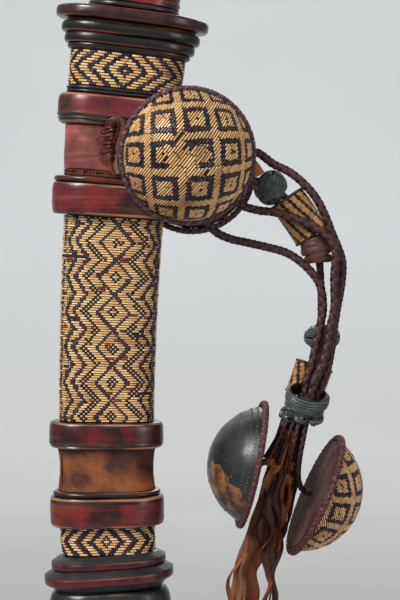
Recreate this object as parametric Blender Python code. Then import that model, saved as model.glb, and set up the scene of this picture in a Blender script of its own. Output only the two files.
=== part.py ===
"""A curved sword in its leather-covered scabbard, with a braided leather hanger.

Two roundels sit on the scabbard's sling band. The hanger carries two more, with a fringe, at its lower end.
Frame: +X is the right seen from the front, +Y goes from the front to the back, +Z is up. The origin is
the middle of the flat back face of the lower sling groove, where a display bracket holds the scabbard.
The scabbard follows an arc of one radius, so the curved blade can slide along its own curve. A place on it
is given by `along` (arc length from the arc's lowest tangent point, up is positive), `across` (towards
the centre of curvature) and `depth` (towards the back).
"""

import math

import bmesh
import bpy
import numpy as np
from mathutils import Vector
from mathutils.geometry import interpolate_bezier

# ---------------------------------------------------------------- driving dimensions, in metres
GAP = 0.0003
CURVE_RADIUS = 1.87
VERTEX_HEIGHT = 0.011
THROAT = 0.2395
GROOVE_WALL = 0.0024
GROOVE_CORE_DEPTH = 0.0100
DEPTH_SHARE = 0.8  # how much of a cover's wall stands proud in depth, against across
MID_DEPTH = -(GROOVE_CORE_DEPTH + DEPTH_SHARE * GROOVE_WALL)
END_ROUNDING = 1.25  # length of the rounded end, against the half depth
END_POINTS = 8

# the wooden core's half width and half depth at places along it
CORE_PLACES = (-0.400, -0.060, 0.030, 0.131, 0.200, 0.2395)
CORE_WIDTHS = (0.0185, 0.0240, 0.0243, 0.0253, 0.0290, 0.0300)
CORE_DEPTHS = (0.0080, GROOVE_CORE_DEPTH, GROOVE_CORE_DEPTH, 0.0104, 0.0112, 0.0115)

# the covers from the throat down: name, length, colour, and (share of the length, wall) pairs
BEAD = ((0.0, 0.45), (0.10, 0.85), (0.30, 1.0), (0.70, 1.0), (0.90, 0.85), (1.0, 0.45))
RED = (0.13, 0.020, 0.018)
BLACK = (0.025, 0.026, 0.028)
STRAW = (0.62, 0.38, 0.15)
TAN = (0.33, 0.15, 0.07)


def bead(wall):
    return tuple((share, wall * rise) for share, rise in BEAD)


def plain(wall):
    return ((0.0, wall), (1.0, wall))


COLLAR_STEPS = (
    (0.00, 0.0098), (0.06, 0.0117), (0.29, 0.0117), (0.34, 0.0080), (0.60, 0.0080),
    (0.64, 0.0060), (0.84, 0.0060), (0.88, 0.0040), (0.96, 0.0040), (1.00, 0.0026),
)
MOULDING_STEPS = (
    (0.00, 0.0030), (0.14, 0.0072), (0.18, 0.0078), (0.35, 0.0078), (0.40, 0.0070),
    (0.50, 0.0110), (0.54, 0.0118), (0.78, 0.0118), (0.84, 0.0082), (1.00, 0.0066),
)
BULGE_STEPS = ((0.00, 0.0058), (0.16, 0.0084), (0.48, 0.0098), (0.80, 0.0084), (1.00, 0.0045))
COVERS = (
    ("throat_collar", 0.0229, BLACK, COLLAR_STEPS),
    ("upper_woven_panel", 0.0190, STRAW, plain(0.0020)),
    ("upper_binding", 0.0041, BLACK, plain(0.0026)),
    ("sling_ring_upper", 0.0168, RED, bead(0.0070)),
    ("sling_band", 0.0237, RED, plain(0.0028)),
    ("straw_strip", 0.0037, STRAW, plain(0.0024)),
    ("sling_ring_lower", 0.0210, RED, bead(0.0088)),
    ("main_woven_panel", 0.1118, STRAW, plain(0.0020)),
    ("groove_ring_upper", 0.0149, RED, bead(0.0071)),
    ("lower_groove_cover", 0.0231, TAN, plain(GROOVE_WALL)),
    ("groove_ring_lower", 0.0198, RED, bead(0.0073)),
    ("small_woven_panel", 0.0154, STRAW, plain(0.0022)),
    ("lower_moulding", 0.0193, BLACK, MOULDING_STEPS),
    ("bulge_ring", 0.0187, BLACK, BULGE_STEPS),
    ("tooled_sleeve", 0.2903, BLACK, plain(0.0020)),
    ("tip_ring", 0.0140, RED, bead(0.0055)),
)
LONGEST_STEP = 0.040
TIP_LENGTH = 0.118
TIP_WIDTHS = ((0.0, 0.0205), (0.25, 0.0235), (0.55, 0.0290), (0.80, 0.0330), (0.94, 0.0315), (1.0, 0.0270))
TIP_DEPTHS = (0.0095, 0.0085, 0.0070, 0.0060, 0.0050, 0.0040)

BLADE_LENGTH = 0.625
BLADE_HALF_WIDTHS = (0.0145, 0.0190)  # near the point, at the throat
BLADE_HALF_THICKNESS = 0.0024
CHANNEL_ROOM = 0.0008
SPLIT = 0.00015
TANG_HALF = (0.0060, 0.0022)
TANG_ROOM = (0.0026, 0.0008)  # the slot's ends are round, so it needs more room across
HILT_START = THROAT + GAP
HILT_PROFILE = (  # along above the throat, half width, half depth of the leather grip
    (0.004, 0.0245, 0.0165), (0.016, 0.0238, 0.0160), (0.026, 0.0180, 0.0140), (0.040, 0.0150, 0.0125),
    (0.085, 0.0140, 0.0120), (0.125, 0.0155, 0.0128), (0.138, 0.0165, 0.0132),
)
POMMEL_PROFILE = ((0.1383, 0.0175), (0.143, 0.0225), (0.153, 0.0255), (0.164, 0.0225), (0.170, 0.0150))
CAP_PROFILE = ((0.1703, 0.0120), (0.1725, 0.0112), (0.1750, 0.0060))
GRIP_WALL = 0.0018

ROUNDEL_RADIUS = 0.0322
ROUNDEL_RISE = 0.0240
ROUNDEL_WALL = 0.0018
DISC_THICKNESS = 0.0020
WELT_RADIUS = 0.0018
ROUNDEL_SIDES = 20
ROUNDELS = (  # name, cover colour, centre of its rim, direction of its apex
    ("front_roundel", STRAW, (0.0453, -0.0330, 0.1714), (0.17, -0.975, -0.14)),
    ("back_roundel", BLACK, (0.0477, 0.0098, 0.1654), (0.10, 0.985, -0.12)),
    ("left_roundel", BLACK, (0.0798, -0.0120, 0.0030), (-0.977, -0.04, 0.21)),
    ("right_roundel", STRAW, (0.1163, -0.0100, -0.0148), (0.911, 0.05, -0.41)),
)

CORD_DIAMETER = 0.0047
STRAND_DIAMETER = 0.0042
BRAID_DIAMETER = 0.0034
CORD_STEP = 0.010
CORD_COLOUR = (0.045, 0.018, 0.018)
CORDS = {  # name: diameter and the points of its route
    "outer_cord": (CORD_DIAMETER, (
        (0.0664, -0.0125, 0.1685), (0.0745, -0.0125, 0.1728), (0.0825, -0.0125, 0.1748),
        (0.0919, -0.0130, 0.1683), (0.1012, -0.0134, 0.1636), (0.1094, -0.0136, 0.1567),
        (0.1157, -0.0136, 0.1490), (0.1206, -0.0126, 0.1396), (0.1242, -0.0112, 0.1306),
        (0.1277, -0.0100, 0.1227), (0.1302, -0.0096, 0.1144), (0.1298, -0.0098, 0.1034),
        (0.1271, -0.0100, 0.0875), (0.1254, -0.0100, 0.0759), (0.1240, -0.0102, 0.0650),
        (0.1222, -0.0104, 0.0560), (0.1190, -0.0106, 0.0466))),
    "middle_cord": (CORD_DIAMETER, (
        (0.0668, -0.0135, 0.1595), (0.0680, -0.0140, 0.1530), (0.0730, -0.0145, 0.1464),
        (0.0831, -0.0150, 0.1430), (0.0919, -0.0160, 0.1419), (0.1018, -0.0165, 0.1392),
        (0.1100, -0.0165, 0.1359), (0.1188, -0.0165, 0.1310), (0.1246, -0.0165, 0.1245),
        (0.1260, -0.0165, 0.1180), (0.1252, -0.0160, 0.1067), (0.1254, -0.0155, 0.0902),
        (0.1232, -0.0155, 0.0787), (0.1214, -0.0158, 0.0677), (0.1190, -0.0160, 0.0590),
        (0.1140, -0.0160, 0.0478))),
    "inner_cord": (CORD_DIAMETER, (
        (0.0580, -0.0120, 0.1552), (0.0555, -0.0120, 0.1480), (0.0550, -0.0120, 0.1400),
        (0.0594, -0.0120, 0.1320), (0.0677, -0.0120, 0.1276), (0.0781, -0.0120, 0.1252),
        (0.0886, -0.0120, 0.1228), (0.0985, -0.0122, 0.1200), (0.1062, -0.0126, 0.1154),
        (0.1128, -0.0128, 0.1092), (0.1172, -0.0126, 0.1030), (0.1190, -0.0122, 0.0960),
        (0.1194, -0.0120, 0.0880), (0.1180, -0.0120, 0.0804), (0.1158, -0.0120, 0.0700),
        (0.1136, -0.0120, 0.0594), (0.1100, -0.0122, 0.0482))),
    "core_strand": (STRAND_DIAMETER, (
        (0.0673, -0.0100, 0.1640), (0.0760, -0.0090, 0.1616), (0.0840, -0.0082, 0.1588),
        (0.0908, -0.0078, 0.1557), (0.0970, -0.0072, 0.1518), (0.1040, -0.0068, 0.1440),
        (0.1095, -0.0066, 0.1358), (0.1140, -0.0070, 0.1275), (0.1170, -0.0076, 0.1190),
        (0.1184, -0.0060, 0.1090), (0.1192, -0.0020, 0.0970), (0.1195, 0.0006, 0.0860),
        (0.1196, 0.0014, 0.0704), (0.1170, 0.0014, 0.0590), (0.1128, 0.0012, 0.0490),
        (0.1095, 0.0004, 0.0400), (0.1080, -0.0010, 0.0345))),
    "left_braid": (BRAID_DIAMETER, (
        (0.0985, -0.0145, 0.0300), (0.0960, -0.0148, 0.0220), (0.0930, -0.0142, 0.0130),
        (0.0898, -0.0130, 0.0065), (0.0865, -0.0124, 0.0036), (0.0836, -0.0119, 0.0025))),
    "right_braid": (BRAID_DIAMETER, (
        (0.1110, -0.0135, 0.0300), (0.1088, -0.0140, 0.0190), (0.1066, -0.0142, 0.0070),
        (0.1058, -0.0138, -0.0030), (0.1072, -0.0130, -0.0095), (0.1098, -0.0120, -0.0122),
        (0.1128, -0.0112, -0.0136))),
}

SLING_KNOT = ((0.0462, -0.0120, 0.1640), (0.0080, 0.0078, 0.0110))  # centre, half sizes
TIE_LOOP = ((0.0603, -0.0120, 0.1620), 0.0038, 0.0014)  # centre, loop radius, thong radius
STRAND_HOLE = 0.0033
KEEPERS = (  # name, colour, centre, direction, half length, radius
    ("turned_knot", BLACK, (0.0907, -0.0077, 0.1556), (0.881, 0.068, -0.469), 0.0082, 0.0090),
    ("three_turn_wrap", TAN, (0.1161, -0.0073, 0.1214), (0.266, 0.0, -0.964), 0.0068, 0.0078),
    ("small_knot", BLACK, (0.1196, 0.0013, 0.0725), (0.02, 0.03, -1.0), 0.0066, 0.0078),
)
SLEEVE_HALF = (0.0092, 0.0056)  # half width and half depth of a woven keeper sleeve
SLEEVE_WALL = 0.0012
SLEEVES = (  # name, upper end, lower end
    ("upper_keeper_sleeve", (0.0996, -0.0069, 0.1501), (0.1139, -0.0066, 0.1290)),
    ("lower_keeper_sleeve", (0.1166, 0.0015, 0.0579), (0.1102, 0.0009, 0.0426)),
)
GATHER_KNOT = ((0.1089, -0.0135, 0.0385), (0.0122, 0.0084, 0.0068))
FRINGE_HEAD = ((0.1010, -0.0030, 0.0110), (0.0110, 0.0046, 0.0145))
STRIP_THICKNESS = 0.0014
STRIPS = (  # width, then the points of the middle line
    (0.0085, ((0.0925, -0.0040, -0.0046), (0.0880, -0.0080, -0.0200), (0.0825, -0.0120, -0.0360),
              (0.0760, -0.0130, -0.0520), (0.0705, -0.0120, -0.0720), (0.0680, -0.0100, -0.0950))),
    (0.0070, ((0.0975, -0.0015, -0.0046), (0.0940, -0.0045, -0.0200), (0.0885, -0.0060, -0.0420),
              (0.0835, -0.0050, -0.0620), (0.0795, -0.0040, -0.0820), (0.0800, -0.0020, -0.1060))),
    (0.0060, ((0.1015, -0.0050, -0.0046), (0.0985, -0.0100, -0.0200), (0.0945, -0.0120, -0.0400),
              (0.0905, -0.0115, -0.0600), (0.0885, -0.0095, -0.0800), (0.0895, -0.0085, -0.0960))),
    (0.0050, ((0.1050, -0.0010, -0.0046), (0.0995, 0.0008, -0.0200), (0.0915, 0.0008, -0.0420),
              (0.0880, 0.0010, -0.0600), (0.0890, 0.0030, -0.0840))),
)


# ---------------------------------------------------------------- places and outlines
def place(across, depth, along):
    """World position of a point given by its place along the curved scabbard."""
    turn = along / CURVE_RADIUS
    reach = CURVE_RADIUS - across
    return Vector((
        CURVE_RADIUS - reach * math.cos(turn),
        MID_DEPTH + depth,
        VERTEX_HEIGHT + reach * math.sin(turn),
    ))


def slab_outline(flat, end_length, half_depth):
    """Points of a flat slab with rounded ends, as (across, depth), starting at the lower right."""
    angles = np.linspace(-math.pi / 2, math.pi / 2, END_POINTS)
    right = [(flat + end_length * math.cos(a), half_depth * math.sin(a)) for a in angles]
    left = [(-x, -y) for x, y in right]
    return right + left


def core_size(along):
    width = float(np.interp(along, CORE_PLACES, CORE_WIDTHS))
    depth = float(np.interp(along, CORE_PLACES, CORE_DEPTHS))
    return width, depth


def core_loop(along, wall):
    """Outline round the wooden core at one place, grown by a wall."""
    width, depth = core_size(along)
    end = END_ROUNDING * depth
    outline = slab_outline(width - end, end + wall, depth + DEPTH_SHARE * wall)
    return [place(x, y, along) for x, y in outline]


def steps_between(top, bottom):
    count = max(1, math.ceil((top - bottom) / LONGEST_STEP))
    return list(np.linspace(top, bottom, count + 1))


def smooth_route(points, spacing):
    """Evenly spaced points on a smooth curve through the route's own points."""
    knots = [Vector(p) for p in points]
    ends = [2 * knots[0] - knots[1]] + knots + [2 * knots[-1] - knots[-2]]
    fine = [knots[0]]
    for before, start, stop, after in zip(ends, ends[1:], ends[2:], ends[3:]):
        leave = start + (stop - before) / 6
        arrive = stop - (after - start) / 6
        fine += interpolate_bezier(start, leave, arrive, stop, 9)[1:]
    run = np.concatenate([[0.0], np.cumsum([(b - a).length for a, b in zip(fine, fine[1:])])])
    places = np.linspace(0.0, run[-1], max(2, round(run[-1] / spacing)) + 1)
    columns = [np.interp(places, run, [p[k] for p in fine]) for k in range(3)]
    return [Vector(p) for p in zip(*columns)]


# ---------------------------------------------------------------- making objects
def make_material(name, colour, roughness, metallic):
    material = bpy.data.materials.new(name)
    material.use_nodes = True
    shader = material.node_tree.nodes["Principled BSDF"]
    shader.inputs["Base Color"].default_value = (*colour, 1.0)
    shader.inputs["Roughness"].default_value = roughness
    shader.inputs["Metallic"].default_value = metallic
    return material


def finish(name, mesh, colour, roughness=0.6, metallic=0.0, parent=None):
    """Turn a bmesh into a named object with outward faces, smooth shading and its own material."""
    bmesh.ops.recalc_face_normals(mesh, faces=mesh.faces)
    data = bpy.data.meshes.new(name)
    mesh.to_mesh(data)
    mesh.free()
    data.shade_smooth()
    data.set_sharp_from_angle(angle=math.radians(35))
    obj = bpy.data.objects.new(name, data)
    obj.data.materials.append(make_material(name + "_finish", colour, roughness, metallic))
    bpy.context.scene.collection.objects.link(obj)
    attach(obj, parent)
    return obj


def attach(obj, parent):
    """Parent an object to a joint's empty and keep its place in the world."""
    if parent is not None:
        obj.parent = parent
        obj.matrix_parent_inverse = parent.matrix_world.inverted()


def pivot(name, position, parent=None):
    """An empty on a joint's axis."""
    empty = bpy.data.objects.new(name, None)
    empty.empty_display_size = 0.01
    empty.location = position
    bpy.context.scene.collection.objects.link(empty)
    bpy.context.view_layer.update()
    attach(empty, parent)
    bpy.context.view_layer.update()
    return empty


def loft(loops, closed):
    """Skin a list of equal loops. closed joins the last to the first, otherwise both ends are capped."""
    mesh = bmesh.new()
    rings = [[mesh.verts.new(p) for p in loop] for loop in loops]
    pairs = list(zip(rings, rings[1:]))
    if closed:
        pairs.append((rings[-1], rings[0]))
    for low, high in pairs:
        count = len(low)
        for i in range(count):
            j = (i + 1) % count
            mesh.faces.new((low[i], low[j], high[j], high[i]))
    if not closed:
        mesh.faces.new(rings[0])
        mesh.faces.new(rings[-1])
    return mesh


def spun(profile, centre, direction, sides, closed, squash=1.0):
    """Turn a profile of (radius, height) points about a direction. A radius of 0 closes on the axis."""
    axis = Vector(direction).normalized()
    side = axis.cross(Vector((0.0, 0.0, 1.0)) if abs(axis.z) < 0.9 else Vector((0.0, 1.0, 0.0))).normalized()
    other = axis.cross(side)
    mesh = bmesh.new()
    rings = []
    for radius, height in profile:
        middle = Vector(centre) + axis * height
        if radius == 0.0:
            rings.append([mesh.verts.new(middle)] * sides)
            continue
        ring = []
        for k in range(sides):
            angle = 2 * math.pi * k / sides
            offset = side * math.cos(angle) * squash + other * math.sin(angle)
            ring.append(mesh.verts.new(middle + offset * radius))
        rings.append(ring)
    pairs = list(zip(rings, rings[1:]))
    if closed:
        pairs.append((rings[-1], rings[0]))
    for low, high in pairs:
        for i in range(sides):
            j = (i + 1) % sides
            corners = list(dict.fromkeys((low[i], low[j], high[j], high[i])))
            if len(corners) > 2:
                mesh.faces.new(corners)
    return mesh


def ellipsoid(centre, half_sizes, segments=14, rings=8):
    mesh = bmesh.new()
    bmesh.ops.create_uvsphere(mesh, u_segments=segments, v_segments=rings, radius=1.0)
    bmesh.ops.scale(mesh, vec=half_sizes, verts=mesh.verts)
    bmesh.ops.translate(mesh, vec=centre, verts=mesh.verts)
    return mesh


# ---------------------------------------------------------------- the scabbard
def make_covers():
    """The sleeves, rings and mouldings round the core, from the throat down. Returns their joints' places."""
    breaks = [THROAT]
    top = THROAT
    for name, length, colour, steps in COVERS:
        bottom = top - length
        start = top - (0.0 if name == "throat_collar" else GAP)
        outer = []
        for (share, wall), (next_share, next_wall) in zip(steps, steps[1:]):
            high = start + share * (bottom - start)
            low = start + next_share * (bottom - start)
            for place_along in steps_between(high, low):
                part = (start - place_along) / (start - bottom)
                grown = float(np.interp(part, (share, next_share), (wall, next_wall)))
                if not outer or abs(outer[-1][0] - place_along) > 1e-7:
                    outer.append((place_along, grown))
        inner = [(a, GAP) for a in reversed(steps_between(start, bottom))]
        loops = [core_loop(a, wall) for a, wall in outer + inner]
        finish(name, loft(loops, closed=True), colour, 0.85 if colour == STRAW else 0.45)
        breaks += steps_between(top, bottom)[1:]
        top = bottom
    return breaks


def channel_size(along):
    half = float(np.interp(along, (THROAT - BLADE_LENGTH, THROAT), BLADE_HALF_WIDTHS)) + CHANNEL_ROOM
    return half, BLADE_HALF_THICKNESS + CHANNEL_ROOM


def lath_loop(along, side):
    """Half of the core's outline, with half of the blade channel cut into its flat inner face."""
    width, depth = core_size(along)
    end = END_ROUNDING * depth
    outline = slab_outline(width - end, end, depth)
    half = [(x, y) for x, y in outline if y < 0]
    half.sort(key=lambda p: p[0])
    edge = max(x for x, _ in half)
    channel, deep = channel_size(along)
    inner = [
        (edge, -SPLIT), (channel, -SPLIT), (channel, -deep),
        (-channel, -deep), (-channel, -SPLIT), (-edge, -SPLIT),
    ]
    return [place(x, side * y, along) for x, y in half + inner]


def make_laths(breaks):
    places = sorted(set(round(b, 7) for b in breaks), reverse=True)
    for name, side in (("front_lath", 1), ("back_lath", -1)):
        finish(name, loft([lath_loop(a, side) for a in places], closed=False), (0.30, 0.17, 0.08), 0.8)


def make_tip(start):
    """The flared leather tip: a flat paddle below the last ring."""
    loops = []
    for (share, width), depth in zip(TIP_WIDTHS, TIP_DEPTHS):
        along = start - GAP - share * TIP_LENGTH
        outline = slab_outline(width - END_ROUNDING * depth, END_ROUNDING * depth, depth)
        loops.append([place(x, y, along) for x, y in outline])
    finish("flared_tip", loft(loops, closed=False), BLACK, 0.45)


# ---------------------------------------------------------------- the sword
def make_blade(parent):
    """A flat lens-shaped blade that follows the scabbard's arc, with its tang in one piece."""
    loops = []
    foot = THROAT - BLADE_LENGTH
    for along in np.linspace(foot, HILT_START, 19):
        half = float(np.interp(along, (foot, THROAT), BLADE_HALF_WIDTHS))
        if along == foot:
            half *= 0.25
        thick = BLADE_HALF_THICKNESS
        flat = half * 0.5
        outline = ((half, 0), (flat, thick), (-flat, thick), (-half, 0), (-flat, -thick), (flat, -thick))
        loops.append([place(x, y, along) for x, y in outline])
    wide, thick = TANG_HALF
    for along in (HILT_START + 0.0001, HILT_START + 0.060, HILT_START + 0.120, HILT_START + 0.1698):
        outline = ((wide, 0), (wide, thick), (-wide, thick), (-wide, 0), (-wide, -thick), (wide, -thick))
        loops.append([place(x, y, along) for x, y in outline])
    finish("blade", loft(loops, closed=False), (0.55, 0.55, 0.56), 0.35, 1.0, parent)


def hollow_stack(name, stations, hole, colour, parent, roughness=0.5, metallic=0.0):
    """A body round the tang: stations are (along, half width, half depth), hole gives the same for inside."""
    loops = []
    for along, width, depth in stations:
        outline = slab_outline(width - 1.05 * depth, 1.05 * depth, depth)
        loops.append([place(x, y, HILT_START + along) for x, y in outline])
    for along, width, depth in reversed(hole):
        outline = slab_outline(width - depth, depth, depth)
        loops.append([place(x, y, HILT_START + along) for x, y in outline])
    finish(name, loft(loops, closed=True), colour, roughness, metallic, parent)


def make_hilt(parent):
    tang = (TANG_HALF[0] + TANG_ROOM[0], TANG_HALF[1] + TANG_ROOM[1])
    wood = [(a, w - GRIP_WALL - GAP, d - GRIP_WALL - GAP) for a, w, d in HILT_PROFILE]
    hollow_stack("grip_core", wood, [(a, *tang) for a, _, _ in wood], (0.30, 0.17, 0.08), parent, 0.8)
    inside = [(a, w - GRIP_WALL, d - GRIP_WALL) for a, w, d in HILT_PROFILE]
    hollow_stack("grip_leather", HILT_PROFILE, inside, RED, parent)
    edge, face = (0.0242, 0.0163), (0.0252, 0.0173)
    band = [(0.0002, *edge), (0.0010, *face), (0.0030, *face), (0.0037, *edge)]
    hollow_stack("hilt_band", band, [(0.0002, *tang), (0.0037, *tang)], BLACK, parent)
    pommel = [(a, w, 0.72 * w + 0.002) for a, w in POMMEL_PROFILE]
    hollow_stack("pommel", pommel, [(pommel[0][0], *tang), (pommel[-1][0], *tang)], RED, parent)
    loops = []
    for along, half in CAP_PROFILE:
        outline = slab_outline(half * 0.3, half * 0.7, half * 0.75)
        loops.append([place(x, y, HILT_START + along) for x, y in outline])
    finish("pommel_cap", loft(loops, closed=False), (0.55, 0.36, 0.13), 0.4, 1.0, parent)


# ---------------------------------------------------------------- roundels
def cap_profile(radius, rise, count):
    """(radius, height) points over a spherical cap, from its rim to its apex."""
    ball = (radius * radius + rise * rise) / (2 * rise)
    opening = math.asin(min(1.0, radius / ball))
    angles = np.linspace(opening, 0.0, count)
    points = [(ball * math.sin(a), ball * math.cos(a) - (ball - rise)) for a in angles]
    points[-1] = (0.0, rise)
    return points


def make_roundel(name, colour, centre, direction, parent):
    outer = cap_profile(ROUNDEL_RADIUS, ROUNDEL_RISE, 6)
    inner = cap_profile(ROUNDEL_RADIUS - ROUNDEL_WALL, ROUNDEL_RISE - ROUNDEL_WALL, 6)
    shell = outer + list(reversed(inner))
    finish(name + "_cover", spun(shell, centre, direction, ROUNDEL_SIDES, True), colour, 0.6, 0.0, parent)
    room = ROUNDEL_WALL + 2 * GAP
    former = [(0.0, 0.0)] + cap_profile(ROUNDEL_RADIUS - room, ROUNDEL_RISE - room, 6)
    wood = spun(former, centre, direction, ROUNDEL_SIDES, False)
    finish(name + "_former", wood, (0.30, 0.17, 0.08), 0.8, 0.0, parent)
    disc_radius = ROUNDEL_RADIUS - 0.0002
    under = -GAP - DISC_THICKNESS
    profile = [(0.0, -GAP), (disc_radius, -GAP), (disc_radius, under), (0.0, under)]
    disc = spun(profile, centre, direction, ROUNDEL_SIDES, False)
    finish(name + "_back", disc, (0.10, 0.05, 0.06), 0.5, 0.0, parent)
    middle = ROUNDEL_RADIUS + GAP + WELT_RADIUS
    turns = [2 * math.pi * k / 6 for k in range(6)]
    ring = [(middle + WELT_RADIUS * math.cos(t), -0.0006 + WELT_RADIUS * math.sin(t)) for t in turns]
    finish(name + "_welt", spun(ring, centre, direction, ROUNDEL_SIDES, True), CORD_COLOUR, 0.5, 0.0, parent)


# ---------------------------------------------------------------- the hanger
def make_cord(name, parent):
    diameter, points = CORDS[name]
    curve = bpy.data.curves.new(name, "CURVE")
    curve.dimensions = "3D"
    curve.bevel_depth = diameter / 2
    curve.bevel_resolution = 2
    curve.use_fill_caps = True
    route = smooth_route(points, CORD_STEP)
    spline = curve.splines.new("POLY")
    spline.points.add(len(route) - 1)
    for point, position in zip(spline.points, route):
        point.co = (*position, 1.0)
    obj = bpy.data.objects.new(name, curve)
    curve.materials.append(make_material(name + "_finish", CORD_COLOUR, 0.5, 0.0))
    bpy.context.scene.collection.objects.link(obj)
    attach(obj, parent)


def make_keeper(name, colour, centre, direction, half_length, radius, parent):
    """A knot or a wrap: a round bead with a hole for the strand."""
    rises = [math.pi * k / 6 for k in range(7)]
    lip = STRAND_HOLE + 0.0012
    outer = [(lip + (radius - lip) * math.sin(a), -half_length * math.cos(a)) for a in rises]
    profile = outer + [(STRAND_HOLE, half_length), (STRAND_HOLE, -half_length)]
    finish(name, spun(profile, centre, direction, 14, True), colour, 0.5, 0.0, parent)


def make_sleeve(name, upper, lower, parent):
    """A flattened woven tube on the core strand."""
    start, stop = Vector(upper), Vector(lower)
    along = (stop - start).normalized()
    back = Vector((0.0, 1.0, 0.0))
    back = (back - along * back.dot(along)).normalized()
    wide = back.cross(along)
    half, deep = SLEEVE_HALF

    def loop(middle, width, depth):
        return [middle + wide * x + back * y for x, y in slab_outline(width - depth, depth, depth)]

    thin = (half - SLEEVE_WALL, deep - SLEEVE_WALL)
    loops = [loop(start, half, deep), loop(stop, half, deep), loop(stop, *thin), loop(start, *thin)]
    finish(name, loft(loops, closed=True), STRAW, 0.8, 0.0, parent)


def make_strip(name, width, points, parent):
    """A flat leather strip of the fringe."""
    route = smooth_route(points, 0.016)
    loops = []
    for k, middle in enumerate(route):
        along = (route[min(k + 1, len(route) - 1)] - route[max(k - 1, 0)]).normalized()
        out = Vector((0.0, 1.0, 0.0))
        out = (out - along * out.dot(along)).normalized()
        side = along.cross(out)
        across = side * (width / 2)
        proud = out * (STRIP_THICKNESS / 2)
        corners = ((1, 1), (-1, 1), (-1, -1), (1, -1))
        loops.append([middle + across * sx + proud * sy for sx, sy in corners])
    finish(name, loft(loops, closed=False), TAN, 0.7, 0.0, parent)


# ---------------------------------------------------------------- assembly
def build():
    for old in list(bpy.data.objects):
        bpy.data.objects.remove(old)

    breaks = make_covers()
    make_laths(breaks)
    make_tip(breaks[-1])

    draw_pivot = pivot("sword_draw_axis", (CURVE_RADIUS, MID_DEPTH, VERTEX_HEIGHT))
    make_blade(draw_pivot)
    make_hilt(draw_pivot)

    finish("sling_knot", ellipsoid(*SLING_KNOT), RED, 0.5)
    loop_centre, loop_radius, thong = TIE_LOOP
    swing_place = (loop_centre[0] - loop_radius - thong, MID_DEPTH, loop_centre[2])
    swing_pivot = pivot("hanger_swing_axis", swing_place)
    turns = [2 * math.pi * k / 6 for k in range(6)]
    ring = [(loop_radius + thong * math.cos(t), thong * math.sin(t)) for t in turns]
    finish("tie_loop", spun(ring, loop_centre, (0, 1, 0), 12, True), CORD_COLOUR, 0.5, 0.0, swing_pivot)
    hanger = pivot("hanger_fore_aft_axis", loop_centre, swing_pivot)
    for name in ("outer_cord", "middle_cord", "inner_cord", "core_strand"):
        make_cord(name, hanger)
    slide = pivot("small_knot_guide", KEEPERS[2][2], hanger)
    for keeper in KEEPERS:
        make_keeper(*keeper, slide if keeper[0] == "small_knot" else hanger)
    for name, upper, lower in SLEEVES:
        make_sleeve(name, upper, lower, hanger)
    finish("gathering_knot", ellipsoid(*GATHER_KNOT), BLACK, 0.5, 0.0, hanger)

    left_pivot = pivot("left_roundel_axis", CORDS["left_braid"][1][0], hanger)
    right_pivot = pivot("right_roundel_axis", CORDS["right_braid"][1][0], hanger)
    make_cord("left_braid", left_pivot)
    make_cord("right_braid", right_pivot)
    pivots = {"left_roundel": left_pivot, "right_roundel": right_pivot}
    for name, colour, centre, direction in ROUNDELS:
        parent = pivots.get(name) or pivot(name + "_axis", centre)
        make_roundel(name, colour, centre, direction, parent)

    head_centre, head_half = FRINGE_HEAD
    head_top = (head_centre[0], head_centre[1], head_centre[2] + head_half[2])
    fringe = pivot("fringe_swing_axis", head_top, hanger)
    finish("fringe_head", ellipsoid(head_centre, head_half), TAN, 0.7, 0.0, fringe)
    for number, (width, points) in enumerate(STRIPS, start=1):
        make_strip(f"fringe_strip_{number}", width, points, fringe)


build()
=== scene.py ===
import math
import random

import bpy
import numpy as np
from mathutils import Matrix, Vector, noise
from mathutils.geometry import interpolate_bezier


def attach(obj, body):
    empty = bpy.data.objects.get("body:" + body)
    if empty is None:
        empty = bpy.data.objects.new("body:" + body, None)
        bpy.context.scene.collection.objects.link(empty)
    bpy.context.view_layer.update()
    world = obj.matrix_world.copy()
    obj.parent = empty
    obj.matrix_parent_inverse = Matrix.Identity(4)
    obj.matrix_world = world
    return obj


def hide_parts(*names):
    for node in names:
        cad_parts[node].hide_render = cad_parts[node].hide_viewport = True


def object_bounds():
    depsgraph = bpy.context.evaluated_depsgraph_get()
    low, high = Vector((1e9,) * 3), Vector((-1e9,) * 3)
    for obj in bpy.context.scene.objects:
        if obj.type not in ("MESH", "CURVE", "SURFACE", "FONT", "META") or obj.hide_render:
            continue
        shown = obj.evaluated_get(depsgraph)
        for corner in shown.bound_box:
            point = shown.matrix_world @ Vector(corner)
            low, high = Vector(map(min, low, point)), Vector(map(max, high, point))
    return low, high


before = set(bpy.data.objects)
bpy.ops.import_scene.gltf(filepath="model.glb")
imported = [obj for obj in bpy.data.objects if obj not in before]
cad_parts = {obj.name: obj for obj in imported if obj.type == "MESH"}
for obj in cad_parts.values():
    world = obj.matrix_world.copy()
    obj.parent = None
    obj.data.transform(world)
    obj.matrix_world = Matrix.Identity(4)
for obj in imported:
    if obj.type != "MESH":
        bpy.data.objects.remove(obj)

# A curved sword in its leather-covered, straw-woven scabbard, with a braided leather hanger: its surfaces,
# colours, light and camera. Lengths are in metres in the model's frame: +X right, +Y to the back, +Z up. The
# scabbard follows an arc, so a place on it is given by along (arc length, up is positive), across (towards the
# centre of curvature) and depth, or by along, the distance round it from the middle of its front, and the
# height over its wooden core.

CAD_BOX = [list(corner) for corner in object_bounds()]
DICE = random.Random(11)

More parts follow.
